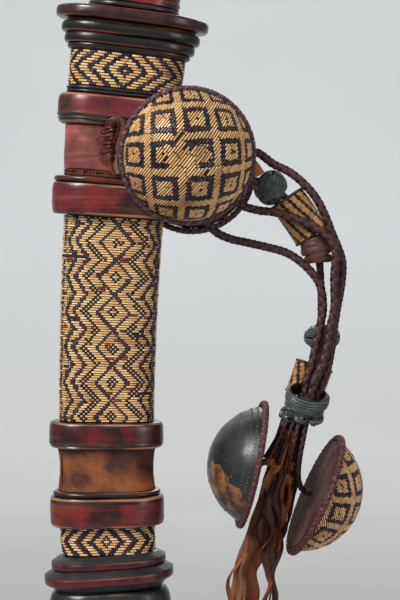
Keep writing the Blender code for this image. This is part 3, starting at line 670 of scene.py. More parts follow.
# ---------------------------------------------------------------- cords of the hanger
CORDS = {  # name: (diameter, length, points of its route), as in the CAD
    "outer_cord": (0.0047, 0.167, (
        (0.0664, -0.0125, 0.1685), (0.0745, -0.0125, 0.1728), (0.0825, -0.0125, 0.1748),
        (0.0919, -0.0130, 0.1683), (0.1012, -0.0134, 0.1636), (0.1094, -0.0136, 0.1567),
        (0.1157, -0.0136, 0.1490), (0.1206, -0.0126, 0.1396), (0.1242, -0.0112, 0.1306),
        (0.1277, -0.0100, 0.1227), (0.1302, -0.0096, 0.1144), (0.1298, -0.0098, 0.1034),
        (0.1271, -0.0100, 0.0875), (0.1254, -0.0100, 0.0759), (0.1240, -0.0102, 0.0650),
        (0.1222, -0.0104, 0.0560), (0.1190, -0.0106, 0.0466))),
    "middle_cord": (0.0047, 0.1515, (
        (0.0668, -0.0135, 0.1595), (0.0680, -0.0140, 0.1530), (0.0730, -0.0145, 0.1464),
        (0.0831, -0.0150, 0.1430), (0.0919, -0.0160, 0.1419), (0.1018, -0.0165, 0.1392),
        (0.1100, -0.0165, 0.1359), (0.1188, -0.0165, 0.1310), (0.1246, -0.0165, 0.1245),
        (0.1260, -0.0165, 0.1180), (0.1252, -0.0160, 0.1067), (0.1254, -0.0155, 0.0902),
        (0.1232, -0.0155, 0.0787), (0.1214, -0.0158, 0.0677), (0.1190, -0.0160, 0.0590),
        (0.1140, -0.0160, 0.0478))),
    "inner_cord": (0.0047, 0.148, (
        (0.0580, -0.0120, 0.1552), (0.0555, -0.0120, 0.1480), (0.0550, -0.0120, 0.1400),
        (0.0594, -0.0120, 0.1320), (0.0677, -0.0120, 0.1276), (0.0781, -0.0120, 0.1252),
        (0.0886, -0.0120, 0.1228), (0.0985, -0.0122, 0.1200), (0.1062, -0.0126, 0.1154),
        (0.1128, -0.0128, 0.1092), (0.1172, -0.0126, 0.1030), (0.1190, -0.0122, 0.0960),
        (0.1194, -0.0120, 0.0880), (0.1180, -0.0120, 0.0804), (0.1158, -0.0120, 0.0700),
        (0.1136, -0.0120, 0.0594), (0.1100, -0.0122, 0.0482))),
    "core_strand": (0.0042, 0.159, (
        (0.0673, -0.0100, 0.1640), (0.0760, -0.0090, 0.1616), (0.0840, -0.0082, 0.1588),
        (0.0908, -0.0078, 0.1557), (0.0970, -0.0072, 0.1518), (0.1040, -0.0068, 0.1440),
        (0.1095, -0.0066, 0.1358), (0.1140, -0.0070, 0.1275), (0.1170, -0.0076, 0.1190),
        (0.1184, -0.0060, 0.1090), (0.1192, -0.0020, 0.0970), (0.1195, 0.0006, 0.0860),
        (0.1196, 0.0014, 0.0704), (0.1170, 0.0014, 0.0590), (0.1128, 0.0012, 0.0490),
        (0.1095, 0.0004, 0.0400), (0.1080, -0.0010, 0.0345))),
    "left_braid": (0.0034, 0.033, (
        (0.0985, -0.0145, 0.0300), (0.0960, -0.0148, 0.0220), (0.0930, -0.0142, 0.0130),
        (0.0898, -0.0130, 0.0065), (0.0865, -0.0124, 0.0036), (0.0836, -0.0119, 0.0025))),
    "right_braid": (0.0034, 0.048, (
        (0.1110, -0.0135, 0.0300), (0.1088, -0.0140, 0.0190), (0.1066, -0.0142, 0.0070),
        (0.1058, -0.0138, -0.0030), (0.1072, -0.0130, -0.0095), (0.1098, -0.0120, -0.0122),
        (0.1128, -0.0112, -0.0136))),
}
CORD_BODIES = {"left_braid": "left_roundel", "right_braid": "right_roundel"}
BRAID_STEP = 0.0008
BRAID_PERIOD = 2.5  # length of one full braid, in diameters


def make_cords():
    made = {}
    for name, (diameter, _, points) in CORDS.items():
        line = smooth_route(points, BRAID_STEP)
        sculpt = Sculpt()
        plait(sculpt, line, carried(line, (0.0, 1.0, 0.0)), 0.56 * diameter, BRAID_PERIOD * diameter)
        body = CORD_BODIES.get(name, "hanger")
        made[name] = (sculpt.make(name + "_plait", [CORD_PAINT], body, "braided_leather", name), line)
    return made


CORD_PIECES = make_cords()


# ---------------------------------------------------------------- covers round the scabbard
AROUND = 96
LUMP = 0.00022


def bead_stations(beads, count):
    """(share of the length, wall, tint, edge) over rounded beads (start, stop, foot, top, power, tint)."""
    stations = []
    for start, stop, foot, top, power, tint_or_painted_shade in beads:
        for k in range(count + 1):
            part = 0.5 - 0.5 * math.cos(math.pi * k / count)
            swell = max(0.0, 1 - abs(2 * part - 1) ** power) ** (1 / power)
            edge = math.exp(-((part - 0.06) / 0.05) ** 2) + math.exp(-((part - 0.94) / 0.05) ** 2)
            stations.append((start + (stop - start) * part, foot + (top - foot) * swell, tint_or_painted_shade(part), edge))
    return stations


def cover_mesh(sculpt, top, bottom, stations, lump=LUMP, kind=0, lean=0.0, worn=None):
    """A cover's outside, with its two ends turned in to the core. lean tips it, higher on the right. worn
    gives the extra wear at a share of the length and a distance round it."""
    stations = [(0.0, 0.0002, stations[0][2], 0.0), *stations, (1.0, 0.0002, stations[-1][2], 0.0)]
    rows = []
    for share, wall, _, _ in stations:
        along = top + share * (bottom - top)
        girth = core_girth(along, wall)
        half = 2 * girth[0] + girth[3]
        row = []
        for j in range(AROUND):
            round_it = half * (2 * (j + 0.5) / AROUND - 1)
            point = slab_place(girth, round_it, along)
            point.z += lean * (point.x - place(0.0, 0.0, along).x)
            if wall > 0.0003 and lump:
                out = slab_place(core_girth(along, wall + 0.001), round_it, along) - point
                soft = noise.noise(point * 90.0) + 0.5 * noise.noise(point * 260.0)
                point = point + out.normalized() * lump * soft
            row.append(point)
        rows.append(row)

    def mark(i, j):
        share, _, tint_or_painted_shade, edge = stations[i]
        if worn:
            edge += worn(share, half * (2 * (j + 0.5) / AROUND - 1))
        return tint_or_painted_shade, edge, 0.5

    sculpt.skin(rows, mark, kind, wrap=True)


def tint_between(*spans):
    """A tint that is 1 within spans of a bead's length and 0 elsewhere."""
    return lambda part: 1.0 if any(low <= part <= high for low, high in spans) else 0.0


def simple_cover(name, beads, paint, slot, lump=LUMP, count=22, ridge=None, worn=None):
    """A cover of rounded beads. ridge is (share of the length, height): fine ridges round it below that."""
    stations = bead_stations(beads, count)
    if ridge:
        start, rise = ridge
        stations = [(share, wall + (rise * (-1) ** k if share > start and 0.03 < share < 0.97 else 0.0),
            tint_or_painted_shade, edge)
                    for k, (share, wall, tint_or_painted_shade, edge) in enumerate(stations)]
    sculpt = Sculpt()
    cover_mesh(sculpt, *SPANS[name], stations, lump, worn=worn)
    sculpt.make(name + "_leather", [paint], "scabbard", slot, name)


NO_TINT = tint_between()
ALL_TINT = tint_between((0.0, 1.0))


def lower_right_wear(share, round_it):
    """A rubbed patch low on the right of the upper groove ring."""
    away = math.hypot((share - 0.72) / 0.34, (round_it - 0.021) / 0.013)
    return 0.42 * max(0.0, 1.2 - away)


def upper_right_wear(share, round_it):
    """The rubbed top edge of the lower groove ring, mostly on its right."""
    return 0.62 * max(0.0, 1.0 - abs(share - 0.12) / 0.14) * min(1.0, max(0.35, (round_it + 0.004) / 0.01))


def make_rings():
    simple_cover("throat_collar", (
        (0.00, 0.29, 0.0060, 0.0119, 3.6, ALL_TINT), (0.29, 0.35, 0.0050, 0.0056, 2.0, NO_TINT),
        (0.35, 0.61, 0.0056, 0.0084, 2.4, NO_TINT), (0.61, 0.85, 0.0042, 0.0063, 2.4, NO_TINT),
        (0.85, 0.97, 0.0030, 0.0042, 2.2, NO_TINT), (0.97, 1.00, 0.0022, 0.0026, 2.0, NO_TINT)),
        COLLAR_PAINT, "black_leather")
    simple_cover("upper_binding", (
        (0.0, 0.5, 0.0018, 0.0030, 2.0, NO_TINT), (0.5, 1.0, 0.0018, 0.0030, 2.0, NO_TINT)), BLACK_PAINT,
        "black_leather")
    simple_cover("sling_ring_upper", ((0.00, 1.00, 0.0030, 0.0073, 3.4, tint_between((0.66, 1.0))),),
        RED_PAINT,
                 "red_leather", ridge=(0.66, 0.0004))
    simple_cover("sling_ring_lower", (
        (0.00, 0.17, 0.0048, 0.0080, 2.6, tint_between((0.75, 1.0))),
        (0.17, 1.00, 0.0066, 0.0090, 3.6, tint_between((0.0, 0.08), (0.90, 1.0)))), RED_PAINT, "red_leather")
    simple_cover("groove_ring_upper", ((0.00, 1.00, 0.0034, 0.0073, 3.8,
        tint_between((0.0, 0.14), (0.78, 1.0))),),
                 RED_PAINT, "red_leather", ridge=(0.78, 0.0003), worn=lower_right_wear)
    simple_cover("groove_ring_lower", (
        (0.00, 0.16, 0.0030, 0.0056, 2.2, ALL_TINT),
        (0.16, 1.00, 0.0056, 0.0075, 3.6, tint_between((0.0, 0.22), (0.92, 1.0)))), RED_PAINT, "red_leather",
        worn=upper_right_wear)
    simple_cover("bulge_ring", ((0.0, 1.0, 0.0046, 0.0099, 2.2, NO_TINT),), BLACK_PAINT, "black_leather",
                 ridge=(0.0, 0.0002))
    simple_cover("tip_ring", ((0.0, 1.0, 0.0026, 0.0056, 3.4, tint_between((0.0, 0.1), (0.85, 1.0))),),
                 RED_PAINT, "red_leather")
    simple_cover("sling_band", ((0.0, 1.0, 0.0027, 0.0029, 2.0, NO_TINT),), BAND_PAINT, "red_leather",
        0.0004, 24)


def make_moulding():
    """Two sloping black steps, each with an upright dark red rim."""
    stations = []
    for start, edge, stop, foot, top in ((0.0, 0.15, 0.37, 0.0030, 0.0078),
        (0.37, 0.53, 0.80, 0.0070, 0.0119)):
        for k in range(9):
            part = k / 8
            stations.append((start + (edge - start) * part, foot + (top - foot) * part ** 0.9, 0.0, 0.0))
        for k in range(1, 11):
            part = k / 10
            wall = top - 0.0009 * abs(2 * part - 1) ** 4
            stations.append((edge + (stop - edge) * part, wall, 1.0, 0.9 if k in (1, 2) else 0.1))
    for k in range(6):
        stations.append((0.81 + 0.19 * k / 5, 0.0092 - 0.0006 * k, 0.0, 0.0))
    sculpt = Sculpt()
    cover_mesh(sculpt, *SPANS["lower_moulding"], stations, lean=0.035)
    sculpt.make("lower_moulding_leather", [BLACK_RED_PAINT], "scabbard", "black_leather", "lower_moulding")


BLACK_RED_PAINT = leather("black_and_red_leather", srgb(42, 43, 45), srgb(22, 22, 24), srgb(176, 92, 62),
                          srgb(92, 17, 25), roughness=(0.28, 0.48), wear=0.68, coat=0.35,
                          other_deep=srgb(44, 13, 18))


def make_groove():
    """The bare neck between the lower rings: worn suede, pulled in, with a painted shadow under the upper
    ring, a seam strip and a torn flap.
    """
    top, bottom = SPANS["lower_groove_cover"]
    stations = []
    for k in range(25):
        part = k / 24
        pinch = 0.0011 * math.sin(math.pi * part) ** 0.8
        # Its tint_or_painted_shade, high at the top, lays the suede's second colour there as a painted shadow
        # under the upper groove ring.
        stations.append((part, 0.0028 - pinch, 0.55 * max(0.0, 1 - part / 0.16),
            0.3 * max(0.0, part - 0.8) / 0.2))

    def torn_or_painted_shadow(share, round_it):
        return 0.35 * max(0.0, (abs(round_it) - 0.018) / 0.008) * (0.5 + share)

    sculpt = Sculpt()
    cover_mesh(sculpt, top, bottom, stations, 0.00035, worn=torn_or_painted_shadow)

    def skin_of(s, t, lift):
        return on_core(s, t, 0.0018 + lift)

    left = -0.0252
    lay_band(sculpt, skin_of, [(left, top - 0.0005), (left - 0.0006, (top + bottom) / 2),
        (left, bottom + 0.0005)],
             0.0020, 0.0014, 1)
    flap = [(left, bottom + 0.0009), (-0.016, bottom + 0.0007), (-0.004, bottom + 0.0013),
        (0.010, bottom + 0.0008)]
    lay_band(sculpt, skin_of, flap, 0.0014, 0.0012, 0)
    sculpt.make("lower_groove_suede", [SUEDE_PAINT, SEAM_PAINT], "scabbard", "worn_leather",
        "lower_groove_cover")


# ---------------------------------------------------------------- woven panels
PANEL_BASE = 0.0016
CROSSING_TOP = 0.1240
DIAMOND_PITCH = 0.0191
LINE_WIDTH = 0.0014


def half_round(along, wall):
    flat, _, _, arc = core_girth(along, wall)
    return 2 * flat + arc


def panel_base(sculpt, name, wall=PANEL_BASE):
    top, bottom = SPANS[name]
    stations = [(k / 20, wall, 0.0, 0.0) for k in range(21)]
    cover_mesh(sculpt, top, bottom, stations, 0.0001, 3)


def panel_rows(name, pitch, wall):
    top, bottom = SPANS[name]
    count = round((top - bottom) / pitch)
    size = (top - bottom) / count
    rows = []
    for k in range(count):
        along = top - (k + 0.5) * size
        half = half_round(along, wall)
        rows.append((along, -half, half))
    return rows


def diamond_wave(along):
    """0 where the diamonds' lines cross, 1 midway between."""
    part = (CROSSING_TOP - along) / DIAMOND_PITCH
    return 1 - abs(2 * (part - math.floor(part)) - 1)


MAIN_LINES = ((0.0, 0.00885), (0.0149, 0.0214), (0.0212, 0.0264), (0.0410, 0.0480), (0.0560, 0.0620))
MAIN_MIDDLE = 0.0033
DOT = 0.00122


def main_pattern(round_it, along, number, cell):
    wave = diamond_wave(along)
    away = abs(round_it - MAIN_MIDDLE)
    for near, far in MAIN_LINES:
        if abs(away - (near + (far - near) * wave)) < 0.62 * LINE_WIDTH:
            return BARE
    for near, far in ((0.0082, 0.0160), (0.0500, 0.0430)):
        if abs(away - (near + (far - near) * wave)) < 1.6 * DOT:
            return BARE if (number + cell) % 2 else STRAW
    part = (CROSSING_TOP - along) / DIAMOND_PITCH
    from_middle = abs(part - math.floor(part) - 0.5) * DIAMOND_PITCH
    if 0.7 * DOT < away + from_middle < 3.0 * DOT:
        return BARE if (number + cell) % 2 else STRAW
    worn = noise.noise(Vector((round_it * 90.0, along * 420.0, 3.0)))
    if worn > 0.50 and away > 0.006:
        return BARE
    rubbed = noise.noise(Vector((round_it * 160.0, along * 300.0, 8.0)))
    least = 0.0 if abs(part - 1.0) < 0.07 else 0.46
    if rubbed > least and (away < 0.012 or away > 0.020 or round_it > 0.010):
        return RED
    return STRAW


def make_main_panel():
    name = "main_woven_panel"
    sculpt = Sculpt()
    panel_base(sculpt, name)

    def surface(s, t, lift):
        return on_core(s, t, PANEL_BASE + lift)

    weave(sculpt, surface, panel_rows(name, 0.00127, PANEL_BASE), DOT, main_pattern, 0.00104, 0.00070,
          (0.0085, 0.004))
    top, bottom = SPANS[name]
    stops = [top - 0.0004]
    turn = CROSSING_TOP + DIAMOND_PITCH / 2
    while turn > bottom:
        if bottom + 0.0008 < turn < top - 0.0008:
            stops.append(turn)
        turn -= DIAMOND_PITCH / 2
    stops.append(bottom + 0.0004)
    for side in (-1, 1):
        for near, far in MAIN_LINES:
            shade = DICE.random() * 0.6
            corners = [(MAIN_MIDDLE + side * (near + (far - near) * diamond_wave(t)), t) for t in stops]
            lay_band(sculpt, surface, corners, LINE_WIDTH, 0.00085, PURPLE if near < 0.02 else SLATE,
                0.0013, shade)
        lay_band(sculpt, surface, [(side * 0.0262, top - 0.0004), (side * 0.0262, bottom + 0.0004)], 0.0034,
            0.0009,
                 SLATE, 0.0016, 0.3)
    sculpt.make("main_panel_weave", [STRAW_PAINT, SLATE_PAINT, PURPLE_PAINT, UNDER_PAINT, RUBBED_PAINT],
        "scabbard",
                "straw_weave", name)


def make_small_panel(name, pitch, middle, slope, band_pitch, first, half_band):
    """A short panel of concentric diamonds, alternately purple and slate."""
    sculpt = Sculpt()
    panel_base(sculpt, name)
    repeat = 0.052

    def surface(s, t, lift):
        return on_core(s, t, PANEL_BASE + lift)

    def pattern(s, t, number, cell):
        away = abs((s + repeat) % (2 * repeat) - repeat) + slope * abs(t - middle)
        band = round((away - first) / band_pitch)
        if away < 0.0016:
            return STRAW
        if abs(away - first - band * band_pitch) < half_band:
            return PURPLE if band % 2 == 0 else SLATE
        return STRAW

    weave(sculpt, surface, panel_rows(name, pitch, PANEL_BASE), 0.0011, pattern, 0.80 * pitch, 0.00072,
          (0.0052, 0.0012))
    sculpt.make(name + "_weave", [STRAW_PAINT, SLATE_PAINT, PURPLE_PAINT, UNDER_PAINT], "scabbard",
                "straw_weave", name)


def make_straw_strip():
    """A narrow laced strip below the sling band: slanted straws over dark leather."""
    name = "straw_strip"
    top, bottom = SPANS[name]
    sculpt = Sculpt()
    panel_base(sculpt, name, 0.0018)

    def upright(s, t, lift):
        return on_core(t, s, 0.0018 + lift)

    half = half_round(top, 0.002)
    count = round(2 * half / 0.0017)
    for k in range(count):
        middle = -half + (k + 0.5) * 2 * half / count
        if DICE.random() < 0.30:
            continue
        lay_float(sculpt, upright, bottom + 0.0003, top - 0.0003, middle, 0.0014, 0.0008, 0,
                  DICE.uniform(0.15, 0.45), 0.0012)
    for t in (top - 0.0006, bottom + 0.0006):
        lay_band(sculpt, lambda s, u, lift: on_core(s, u, 0.0021 + lift), [(-half, t), (0.0, t), (half, t)],
                 0.0011, 0.0009, 1)
    sculpt.make("straw_strip_weave", [FRAY_PAINT, SEAM_PAINT, PURPLE_PAINT, UNDER_PAINT], "scabbard",
                "straw_weave", name)


make_rings()
make_moulding()
make_groove()
make_main_panel()
make_small_panel("upper_woven_panel", 0.00145, SPANS["upper_woven_panel"][0] - 0.0090, 1.20, 0.0080, 0.0032,
    0.00145)
make_small_panel("small_woven_panel", 0.00140, SPANS["small_woven_panel"][0] - 0.0076, 0.95, 0.0073, 0.0012,
    0.00155)
make_straw_strip()

# ---------------------------------------------------------------- roundels
RIM_RADIUS = 0.0322
RIM_RISE = 0.0240
BALL = (RIM_RADIUS ** 2 + RIM_RISE ** 2) / (2 * RIM_RISE)
CAP_REACH = BALL * math.asin(RIM_RADIUS / BALL)
ROUNDELS = {
    "front_roundel": ((0.0453, -0.0330, 0.1714), (0.17, -0.975, -0.14)),
    "back_roundel": ((0.0477, 0.0098, 0.1654), (0.10, 0.985, -0.12)),
    "left_roundel": ((0.0798, -0.0120, 0.0030), (-0.977, -0.04, 0.21)),
    "right_roundel": ((0.1163, -0.0100, -0.0148), (0.911, 0.05, -0.41)),
}


WELT_STEPS = 260
WELT_RADIUS = 0.0020  # of the whole plait
WELT_PITCH = 0.0062  # along the rim, for one turn of its strands


class Dome:
    """A roundel's domed cover. Its own places are distances over it from the apex, sideways and upwards."""

    def __init__(self, name, turn=0.0, swell=0.0):
        centre, axis = ROUNDELS[name]
        self.name = name
        self.centre = Vector(centre)
        self.axis = Vector(axis).normalized()
        up = Vector((0.0, 0.0, 1.0))
        self.up = (up - self.axis * up.dot(self.axis)).normalized()
        self.side = self.up.cross(self.axis)
        self.turn = turn
        self.swell = swell

    def at(self, x, y, lift):
        reach = math.hypot(x, y)
        angle = reach / BALL
        way = (self.side * x + self.up * y) / max(reach, 1e-9)
        middle = self.centre - self.axis * (BALL - RIM_RISE)
        return middle + (way * math.sin(angle) + self.axis * math.cos(angle)) * (BALL + self.swell + lift)

    def rowed(self, s, t, lift):
        """The same, with s along the turned rows and t across them."""
        c, d = math.cos(self.turn), math.sin(self.turn)
        return self.at(s * c - t * d, s * d + t * c, lift)

    def base(self, sculpt, kind, mark, lump=0.0001, lift=-0.0003):
        rows = []
        rings = 26
        for i in range(rings + 1):
            reach = CAP_REACH * max(i, 0.15) / rings
            row = []
            for j in range(96):
                turn = 2 * math.pi * j / 96
                point = self.at(reach * math.cos(turn), reach * math.sin(turn), lift)
                point = point + (point - self.centre).normalized() * lump * noise.noise(point * 140.0)
                row.append(point)
            rows.append(row)
        sculpt.skin(rows, lambda i, j: mark(rows[i][j]), kind, wrap=True, out=self.middle_out(rows))

    def middle_out(self, rows):
        return rows[(len(rows) - 1) // 2][0] - (self.centre - self.axis * (BALL - RIM_RISE))

    def welt(self, paint, body):
        """The plaited seam round the rim."""
        sculpt = Sculpt()
        ring, outs = [], []
        for k in range(WELT_STEPS):
            turn = 2 * math.pi * k / WELT_STEPS
            way = self.side * math.cos(turn) + self.up * math.sin(turn)
            ring.append(self.centre + way * (RIM_RADIUS + 0.0019 + 0.7 * self.swell) - self.axis * 0.0006)
            outs.append(self.axis)
        plait(sculpt, ring, outs, WELT_RADIUS, WELT_PITCH, closed=True)
        sculpt.make(self.name + "_plaited_welt", [paint], body, "braided_leather", self.name + "_welt")


SQUARE_PITCH = 0.0178
SQUARE_OUTER = 0.0068
SQUARE_INNER = 0.0043
FLOAT_PITCH = 0.00132


def squares_pattern(dome, shift, tilt, wear):
    """Dark squares on a straw ground, with a dotted middle. wear(x, y) is 0 to 1."""
    def pattern(s, t, number, cell):
        c, d = math.cos(dome.turn), math.sin(dome.turn)
        x, y = s * c - t * d, s * d + t * c
        a = x * math.cos(tilt) + y * math.sin(tilt) - shift[0]
        b = -x * math.sin(tilt) + y * math.cos(tilt) - shift[1]
        a -= round(a / SQUARE_PITCH) * SQUARE_PITCH
        b -= round(b / SQUARE_PITCH) * SQUARE_PITCH
        worn = wear(x, y)
        if worn > 0.2 and noise.noise(Vector((s * 110.0, t * 700.0, 1.0))) < 0.34 * worn - 0.56:
            return BARE
        far = max(abs(a), abs(b))
        if SQUARE_INNER < far < SQUARE_OUTER:
            lost = noise.noise(Vector((x * 160.0, y * 160.0, 5.0)))
            if worn > 0.2 and lost < worn * 0.9 - 0.35:
                return STRAW
            return PURPLE if noise.noise(Vector((x * 60.0, y * 60.0, 9.0))) > 0.05 else SLATE
        if far < 0.0020 and round(a / 0.00125) % 2 == 0 and round(b / 0.00125) % 2 == 0 and worn < 0.5:
            return SLATE
        return STRAW
    return pattern


def make_woven_roundel(name, turn, shift, tilt, wear, welt_paint, swell=0.0):
    dome = Dome(name, turn, swell)
    sculpt = Sculpt()
    dome.base(sculpt, 3, lambda point: (0.0, 0.0, 0.5))
    rows = []
    count = math.floor(CAP_REACH / FLOAT_PITCH)
    for k in range(-count, count + 1):
        t = k * FLOAT_PITCH
        half = math.sqrt(max(0.0, (CAP_REACH - 0.0004) ** 2 - t * t))
        if half > 0.002:
            rows.append((t, -half, half))
    weave(sculpt, dome.rowed, rows, 0.00105, squares_pattern(dome, shift, tilt, wear), 0.00102, 0.00080,
          (0.0075, 0.0040))
    sculpt.make(name + "_weave", [STRAW_PAINT, SLATE_PAINT, PURPLE_PAINT, DOME_UNDER], name, "straw_weave",
                name + "_cover")
    dome.welt(welt_paint, name)
    repaint(name + "_back", DISC_PAINT)
    repaint(name + "_former", WOOD_PAINT)


def make_plain_roundel(name, patches, dot_rings, welt_paint):
    """A black leather roundel with rings of tooled dots. patches are (centre, radius) of worn leather."""
    dome = Dome(name)
    sculpt = Sculpt()

    def mark(point):
        tint_or_painted_shade = 0.0
        for centre, radius in patches:
            away = (point - Vector(centre)).length
            away += 0.0030 * noise.noise(point * 190.0) + 0.0016 * noise.noise(point * 520.0)
            tint_or_painted_shade = max(tint_or_painted_shade, min(1.0, max(0.0, 0.5 + (radius - away) / 0.002)))
        return tint_or_painted_shade, 0.0, 0.5

    dome.base(sculpt, 0, mark, 0.00035, 0.0)
    for reach, count, size, span in dot_rings:
        for k in range(count):
            turn = span[0] + (span[1] - span[0]) * (k + DICE.uniform(-0.15, 0.15)) / count
            x, y = reach * math.cos(turn), reach * math.sin(turn)
            rows = []
            for grow, lift in ((1.0, -0.0001), (0.85, 0.00022), (0.4, 0.00036), (0.05, 0.00038)):
                rows.append([dome.at(x + size * grow * math.cos(a), y + size * grow * math.sin(a), lift)
                             for a in (2 * math.pi * m / 7 for m in range(7))])
            sculpt.skin(rows, (0.0, 0.0, DICE.random()), 1, wrap=True,
                out=dome.at(x, y, 1.0) - dome.at(x, y, 0.0))
    sculpt.make(name + "_leather", [PLAIN_PAINT, BONE_PAINT], name, "black_leather", name + "_cover")
    dome.welt(welt_paint, name)
    repaint(name + "_back", DISC_PAINT)
    repaint(name + "_former", WOOD_PAINT)


def front_wear(x, y):
    return max(0.0, 1.0 - math.hypot(x + 0.004, y - 0.002) / 0.016)


def right_wear(x, y):
    return max(0.0, 0.8 - math.hypot(x - 0.030, y + 0.010) / 0.022)


FULL_TURN = (0.0, 2 * math.pi)
make_woven_roundel("front_roundel", math.radians(52), (0.0020, 0.0030), math.radians(3), front_wear,
    WELT_PAINT,
                   0.0022)
make_woven_roundel("right_roundel", math.radians(-48), (0.0040, 0.0030), math.radians(8), right_wear,
                   RED_WELT_PAINT)
make_plain_roundel(
    "left_roundel", [((0.0600, -0.0290, -0.0035), 0.0098), ((0.0690, -0.0350, -0.0125), 0.0075)],
    ((0.0398, 60, 0.00060, (-0.4, 3.4)), (0.0366, 50, 0.00045, (-0.9, 2.6)),
    (0.0300, 22, 0.00045, (-0.2, 1.7)),
     (0.0235, 12, 0.00040, (-1.2, 0.2)), (0.0150, 9, 0.00040, (-2.0, 1.0)),
     (0.0330, 16, 0.00045, (3.6, 5.6))),
    RED_WELT_PAINT)
make_plain_roundel("back_roundel", [((0.060, 0.030, 0.150), 0.009)],
                   ((0.0395, 66, 0.00055, FULL_TURN), (0.0290, 44, 0.00055, FULL_TURN)), WELT_PAINT)


# ---------------------------------------------------------------- knots and keepers
def across_of(axis):
    """Two directions square to an axis."""
    axis = Vector(axis).normalized()
    side = axis.cross(Vector((0.0, 1.0, 0.0))).normalized()
    return axis, side, side.cross(axis)


def wound_ball(sculpt, centre, axis, half_length, radius, bands, width, hole=0.0, kind=0):
    """A ball of ridged thongs wound over each other round an axis."""
    axis, side, other = across_of(axis)
    centre = Vector(centre)
    core = []
    for k in range(15):
        angle = math.pi * k / 14
        reach = max(hole, 0.93 * radius * math.sin(angle))
        core.append([centre - axis * (0.93 * half_length * math.cos(angle))
                     + (side * math.cos(t) + other * math.sin(t)) * reach
                     for t in (2 * math.pi * j / 28 for j in range(28))])
    sculpt.skin(core, (0.0, 0.0, 0.0), kind, wrap=True, cap=not hole)
    for number, (lean, turn, shift) in enumerate(bands):
        way = side * math.cos(turn) + other * math.sin(turn)
        pole = (axis * math.cos(lean) + way * math.sin(lean)).normalized()
        first = pole.orthogonal().normalized()
        second = pole.cross(first)
        line, outs = [], []
        for k in range(64):
            t = 2 * math.pi * k / 64
            flat = (first * math.cos(t) + second * math.sin(t)) * math.cos(shift) + pole * math.sin(shift)
            sized = axis * (flat.dot(axis) * half_length)
            sized += (flat - axis * flat.dot(axis)) * radius
            grown = 0.96 + 0.02 * number / len(bands) + 0.02 * math.cos(3 * t + number)
            line.append(centre + sized * grown)
            outs.append(sized.normalized())
        lay_ridged(sculpt, line, outs, width / 2, 0.0011, 3, kind)


def crossing_bands(count, lean, shifts=(0.0,)):
    return [(lean, 2 * math.pi * k / count, s) for s in shifts for k in range(count)]


WRAP_STEPS = 56


def wrap_turns(sculpt, centre, axis, radius, turns):
    """Flat leather turns round an axis: (shift along it, width, lean, direction of the lean, radius) each."""
    axis, side, other = across_of(axis)
    for shift, width, lean, turn, grow in turns:
        pole = (axis + (side * math.cos(turn) + other * math.sin(turn)) * math.tan(lean)).normalized()
        first = (side - pole * side.dot(pole)).normalized()
        second = pole.cross(first)
        middle = Vector(centre) + axis * shift
        line, outs = [], []
        for k in range(WRAP_STEPS):
            t = 2 * math.pi * k / WRAP_STEPS
            wave = 1.0 + 0.03 * math.sin(2 * t + turn) + 0.02 * math.sin(5 * t)
            out = first * (math.cos(t) * radius[0]) + second * (math.sin(t) * radius[1])
            line.append(middle + out * grow * wave)
            outs.append(out.normalized())
        half = width / 2
        section = [(half, -0.0006), (half * 0.94, 0.0005), (half * 0.5, 0.0010), (0.0, 0.0012),
            (-half * 0.5, 0.0010),
                   (-half * 0.94, 0.0005), (-half, -0.0006), (0.0, -0.0006)]
        edges = [0.0, 1.0, 0.1, 0.0, 0.1, 1.0, 0.0, 0.0]
        # grooves becomes the tint_or_painted_shade mark: painted shade on the turns' lower corners and
        # underside, where they lie on each other.
        grooves = [1.0, 0.0, 0.0, 0.0, 0.0, 0.0, 1.0, 1.0]
        shade = DICE.random()
        sweep(sculpt, line, outs, section, lambda i, j: (grooves[j], edges[j], shade), closed=True)


def make_sleeve(name, upper, lower, half, skew, paint):
    """A flattened woven keeper: straw rows broken by slate stripes along it, with leather rims."""
    start, stop = Vector(upper), Vector(lower)
    axis = (stop - start).normalized()
    back = Vector((0.0, 1.0, 0.0))
    back = (back - axis * back.dot(axis)).normalized()
    wide = back.cross(axis)
    length = (stop - start).length
    deep = 0.0052
    flat, arc = half - deep, math.pi * deep

    def surface(s, t, lift):
        far = abs(s)
        side = 1 if s >= 0 else -1
        if far <= flat:
            x, y = far, -(deep + lift)
        elif far < flat + arc:
            turn = (far - flat) / deep
            x, y = flat + (deep + lift) * math.sin(turn), -(deep + lift) * math.cos(turn)
        else:
            x, y = max(0.0, 2 * flat + arc - far), deep + lift
        return start + axis * t + wide * (side * x) + back * y

    around = 2 * flat + arc
    sculpt = Sculpt()
    rows = [[surface(around * (2 * (j + 0.5) / 48 - 1), length * k / 12, -0.0002) for j in range(48)]
            for k in range(13)]
    sculpt.skin(rows, kind=3, wrap=True)
    inner = [[surface(around * (2 * (j + 0.5) / 48 - 1), length * k,
        -0.0011) for j in range(48)] for k in (0, 1)]
    sculpt.skin(inner, kind=3, wrap=True, out=start - inner[0][0])

    def pattern(s, t, number, cell):
        stripe = (s + skew * t) / 0.0047
        part = stripe - math.floor(stripe)
        if part < 0.30:
            return SLATE if (number + cell) % 3 else BARE
        return STRAW

    count = round(length / 0.00095)
    lanes = [((k + 0.5) * length / count, -around, around) for k in range(count)]
    weave(sculpt, surface, lanes, 0.0008, pattern, 0.00085, 0.00055, (0.0040, 0.0009), 0.12)
    for t in (0.0004, length - 0.0006):
        lay_band(sculpt, surface, [(-around, t), (-around / 2, t), (0.0, t), (around / 2, t), (around, t)],
                 0.0016, 0.0009, 4)
    return sculpt.make(name + "_weave", [paint, SLATE_PAINT, PURPLE_PAINT, UNDER_PAINT, DARK_STRIP_PAINT],
                       "hanger", "straw_weave", name)


